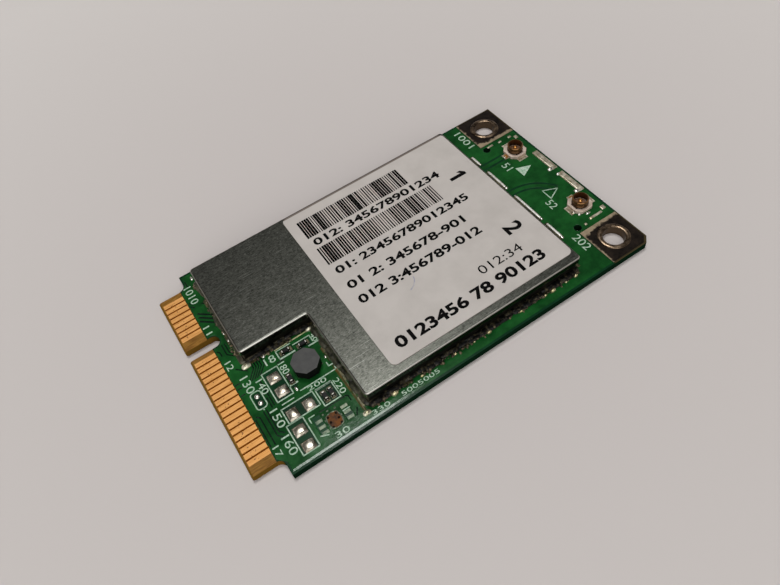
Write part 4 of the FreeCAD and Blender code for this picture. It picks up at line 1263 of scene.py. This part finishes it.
def landOpening():  # a rounded square with a wavy edge
    nearMargin, farMargin = landCoat["margins"]
    left, right = alongOf(landLow) + nearMargin, alongOf(landHigh) - farMargin
    near, far = landLow.y / mm + nearMargin, landHigh.y / mm - farMargin
    power = landCoat["squareness"]
    opening = []
    for i in range(landCoat["steps"]):
        turn = 2 * math.pi * i / landCoat["steps"]
        along, across = math.cos(turn), math.sin(turn)
        reach = (abs(along) ** power + abs(across) ** power) ** (-1 / power)
        reach *= 1 - landCoat["scallop"] * (1 - math.cos(landCoat["lobes"] * turn)) / 2
        opening.append(((left + right) / 2 + along * reach * (right - left) / 2,
                        (near + far) / 2 + across * reach * (far - near) / 2))
    return opening


def layLandCoat():
    border = rectangle((alongOf(landLow), landLow.y / mm), (alongOf(landHigh), landHigh.y / mm))
    opening = landOpening()
    loops = [(border, border), (opening, opening)]
    sheetWithHoles("land_coat", loops, landCoat["height"], "pourLacquer", onLand)
    layRibbons("land_rim", [opening + opening[:1]], landRim, "dullTin", place=onLand)


layVias()
layLandCoat()
print("bare land laid")


# Underside: the same coat, test lands left bare, tracks that fan in from the contacts, small holes

underside = {
    "height": 0.009, "landGap": 0.18, "slope": 0.06, "fan": (3.1, 4.0), "pitch": 0.64,
    "runs": (6.0, 15.0), "seed": 4,
    "groups": [(1, 6), (8, 13), (14, 18), (20, 25)],  # first contact of each bundle, and one past its last
    "trackEnd": 0.1, "edgeRow": 14.0, "edgePitch": 2.6, "padGap": 1.0, "chipRows": 4, "chipPitch": 1.6,
}
underGaps = {"width": 0.15, "height": 0.006, "bend": 0.3}
underVias = {"radius": 0.2, "depth": 0.014, "sides": 12}


def layUnderside():
    slope, height = underside["slope"], underside["height"]
    loops = [(pourOutline(0, 0, 0), pourOutline(pour["edgeSlope"], slope, pour["leftSlope"]))]
    rounds = list(pour["holes"])
    for low, high in solidBoxes("test_lands"):
        middle = (low + high) / 2
        rounds.append((alongOf(middle), middle.y / mm, (high.x - low.x) / 2 / mm + underside["landGap"]))
    for along, across, radius in rounds:
        loops.append((circle(along, across, radius), circle(along, across, radius + slope)))
    sheetWithHoles("underside_pour", loops, height, "pourLacquer", underBoard)
    lines, holes = underTracks()
    layRibbons("underside_gaps", lines, underGaps, "gapLacquer", height, underBoard)
    places = [underBoard(along, across, height) for along, across in holes + underHoles()]
    # small holes as dark discs: painted shade
    layDiscs("underside_vias", places, underVias, "viaHoleShade")


def underTracks():  # pairs of gaps that bound a track, each track ends at a small hole
    wander = random.Random(underside["seed"])
    contacts = sorted(solidBoxes("edge_contacts_bottom"), key=lambda box: box[0].y)
    middles = [(low.y + high.y) / 2 / mm for low, high in contacts]
    start, bend = underside["fan"]
    lines, holes = [], []
    for first, last in underside["groups"]:
        bundle = middles[first:last]
        centre = sum(bundle) / len(bundle)
        for i, across in enumerate(bundle):
            inner = centre + (i - (len(bundle) - 1) / 2) * underside["pitch"]
            turn = bend + abs(inner - across)
            end = wander.uniform(*underside["runs"])
            for side in (-1, 1):
                gap = side * underside["pitch"] / 4
                line = [(start, across + gap), (end, inner + gap)]
                if turn - bend > underGaps["width"]:
                    line[1:1] = [(bend, across + gap), (turn, inner + gap)]
                lines.append(line)
            holes.append((end + underside["trackEnd"], inner))
    return lines, holes


def underHoles():  # a row near each long edge, and a field below the large chip
    holes = []
    along = underside["runs"][0]
    end = alongOf(padLow) - underside["padGap"]
    while along < end:
        holes += [(along, underside["edgeRow"]), (along, -underside["edgeRow"])]
        along += underside["edgePitch"]
    low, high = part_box("wireless_chip")
    middle = (low + high) / 2
    rows, pitch = underside["chipRows"], underside["chipPitch"]
    reach = (rows - 1) / 2 * pitch
    for i in range(rows):
        for j in range(rows):
            holes.append((alongOf(middle) - reach + i * pitch, middle.y / mm - reach + j * pitch))
    return holes


layUnderside()
print("underside laid")


# Print on the label: bars and plain numerals only

labelPrint = {
    "ink": 0.006,
    "bars": [(18.8, 8.16, 32.99, 11.22, 46, 3), (18.8, 3.24, 34.86, 6.19, 52, 11)],  # corners, count, seed
    "thin": 0.1, "thick": 0.31, "skew": 1.2,
    "rows": [  # text, corners, extra weight of the strokes
        ("012: 345678901234", 18.9, 6.59, 36.93, 7.77, 0.03),
        ("01: 23456789012345", 18.9, 1.36, 37.43, 2.55, 0.03),
        ("01 2: 345678-901", 18.9, -1.3, 34.96, -0.06, 0.03),
        ("012 3:456789-012", 18.9, -3.76, 35.46, -2.48, 0.03),
        ("012:34", 31.61, -8.59, 37.43, -7.4, 0.0),
        ("0123456 78 90123", 19.1, -10.95, 38.81, -9.38, 0.034),
    ],
    "sideNumbers": [("1", 37.43, 4.95, 39.69, 5.85, 0.03), ("2", 37.43, -6.07, 39.69, -4.65, 0.03)],
}
penMark = {
    "width": 0.13, "height": 0.005, "bend": 0.6,
    "line": [(24.2, -5.44), (24.9, -5.05), (25.35, -4.5), (25.45, -4.0)],
}


def printLabel():
    ink = labelPrint["ink"]
    for number, (a1, b1, a2, b2, count, seed) in enumerate(labelPrint["bars"]):
        runTree("label_bars_%d" % (number + 1), bpy.data.meshes.new("bars"), bars, {
            "Count": count, "Pitch": (a2 - a1) / (count - 1) * mm, "Thin": labelPrint["thin"] * mm,
            "Thick": labelPrint["thick"] * mm, "Skew": labelPrint["skew"], "Bar Height": (b2 - b1) * mm,
            "Ink": ink * mm, "Seed": seed, "Finish": finishes["labelInk"]},
            move=onLabel(a1, (b1 + b2) / 2, ink / 2))
    numerals = []
    for turned, key in ((False, "rows"), (True, "sideNumbers")):
        for text, a1, b1, a2, b2, weight in labelPrint[key]:
            numerals.append(placeNumbers(text, onLabel(a1, b1), onLabel(a2, b2), turned, ink, weight))
    newPiece("label_numbers", joinMeshes("label_numbers", numerals), "labelInk")
    layRibbons("pen_mark", [penMark["line"]], penMark, "penInk", place=onLabel)


printLabel()
print("label printed")


# Varnish that levels the top of the inductor

varnish = {"radius": 1.28, "sides": 48, "depth": 0.06, "proud": 0.004}


def layVarnish():
    low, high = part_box("inductor_sleeve")
    middle = (low + high) / 2
    place = Vector((middle.x, middle.y, high.z + (varnish["proud"] - varnish["depth"] / 2) * mm))
    layDiscs("inductor_varnish", [place], varnish, "ferriteBody")


layVarnish()
print("varnish laid")


# Rolled rims of the mounting holes

rim = {"inner": 1.3, "outer": 1.92, "rise": 0.11, "fullness": 0.7, "sides": 64, "steps": 8}


def layRims():
    vertices, faces = [], []
    for nodeName in ("mounting_pad_far", "mounting_pad_near"):
        low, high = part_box(nodeName)
        middle = Vector(((low.x + high.x) / 2, (low.y + high.y) / 2, high.z))
        first = len(vertices)
        for i in range(rim["sides"]):
            turn = 2 * math.pi * i / rim["sides"]
            for j in range(rim["steps"] + 1):
                part = j / rim["steps"]
                radius = rim["inner"] + (rim["outer"] - rim["inner"]) * part
                height = rim["rise"] * math.sin(math.pi * part) ** rim["fullness"]
                spot = Vector((radius * math.cos(turn), radius * math.sin(turn), height))
                vertices.append(middle + spot * mm)
        row = rim["steps"] + 1
        for i in range(rim["sides"]):
            here, there = first + i * row, first + (i + 1) % rim["sides"] * row
            for j in range(rim["steps"]):
                faces.append((here + j, here + j + 1, there + j + 1, there + j))
            faces.append((here + rim["steps"], here, there, there + rim["steps"]))
    mesh = bpy.data.meshes.new("hole_rims")
    mesh.from_pydata(vertices, [], faces)
    for polygon in mesh.polygons:
        polygon.use_smooth = True
    tidyNormals(mesh)
    newPiece("hole_rims", mesh, "rimBronze")


layRims()
print("rims laid")


# Table, lamps and camera

stage = {
    # near and away are painted shade and light: the table is darker near the card
    "size": 1.6, "drop": 0.02, "near": (194, 186, 183), "away": (213, 207, 203), "reach": 95,
    "cloud": 0.05, "uneven": 0.03, "rough": 0.65, "fine": 2.0, "depth": 0.003,
}
lamps = {
    "sky": {"tone": (255, 253, 250), "strength": 0.12, "wall": (211, 204, 199), "wallTop": (0.3, 0.45)},
    "key": {"at": (0.2, 0.55, 2.22), "size": (0.44, 0.64), "watts": 22.5},
    "fill": {"at": (-0.9, -1.5, 1.6), "size": (3.0, 3.0), "watts": 46.0},
}
view = {
    "eye": (-19.865, -41.28, 60.49), "target": (-2.27, -2.06, 0.0), "roll": -11.07,
    "lens": 29.4, "nearest": 1.0,
}


def tableTop(look):  # pale, with painted shade: a little darker near the card, lighter away from it
    material, tree, shader = newMaterial("tableTop")
    shader.inputs["Roughness"].default_value = look["rough"]
    spot = millimetres(tree)
    distance = addNode(tree, "ShaderNodeVectorMath", {0: spot}, operation="LENGTH").outputs["Value"]
    uneven = swing(tree, grain(tree, spot, look["cloud"]), look["uneven"])
    away = calc(tree, "ADD", remap(tree, distance, 0, look["reach"]), uneven)
    wire(tree, shader, colour=tones(tree, away, look, "near", "away"))
    fineRelief(tree, shader, spot, look)
    return material


def layTable():
    half = stage["size"] / 2
    low = -stage["drop"] * mm
    mesh = bpy.data.meshes.new("table")
    corners = [(x, y, low) for x, y in rectangle((-half, -half), (half, half))]
    mesh.from_pydata(corners, [], [(0, 1, 2, 3)])
    mesh.materials.append(tableTop(stage))
    table = addObject("table", mesh)


def hangLamp(name, look):
    lamp = bpy.data.lights.new(name, "AREA")
    lamp.shape = "RECTANGLE"
    lamp.size, lamp.size_y = look["size"]
    lamp.energy = look["watts"]
    holder = addObject(name, lamp)
    holder.location = look["at"]
    holder.rotation_euler = (-holder.location).to_track_quat("-Z", "Y").to_euler()


def setSky(look):  # dim all over, with a pale wall round the table that is seen but gives no light
    world = bpy.data.worlds.new("room")
    world.use_nodes = True
    tree = world.node_tree
    sky = tree.nodes["Background"]
    sky.inputs["Color"].default_value = tint(*look["tone"])
    sky.inputs["Strength"].default_value = look["strength"]
    wall = addNode(tree, "ShaderNodeBackground", {"Color": tint(*look["wall"]), "Strength": 1.0})
    path = addNode(tree, "ShaderNodeLightPath").outputs
    seen = calc(tree, "MAXIMUM", path["Is Camera Ray"], path["Is Glossy Ray"])
    seen = calc(tree, "MAXIMUM", seen, path["Is Transmission Ray"])
    up = axes(tree, addNode(tree, "ShaderNodeTexCoord").outputs["Generated"])["Z"]
    low = remap(tree, up, *reversed(look["wallTop"]))
    mixed = addNode(tree, "ShaderNodeMixShader", {
        0: times(tree, seen, low), 1: sky.outputs[0], 2: wall.outputs[0]})
    tree.links.new(mixed.outputs[0], tree.nodes["World Output"].inputs["Surface"])
    bpy.context.scene.world = world


def setCamera():
    camera = addObject("camera", bpy.data.cameras.new("camera"))
    camera.data.lens = view["lens"]
    camera.data.clip_start = view["nearest"] * mm
    eye = Vector(view["eye"]) * mm
    turn = (Vector(view["target"]) * mm - eye).to_track_quat("-Z", "Y").to_matrix().to_4x4()
    camera.matrix_world = Matrix.Translation(eye) @ turn @ Matrix.Rotation(math.radians(view["roll"]), 4, "Z")
    bpy.context.scene.camera = camera


layTable()
hangLamp("keyLamp", lamps["key"])
hangLamp("fillLamp", lamps["fill"])
setSky(lamps["sky"])
setCamera()
bpy.context.scene.view_settings.view_transform = "Standard"
print("stage set")
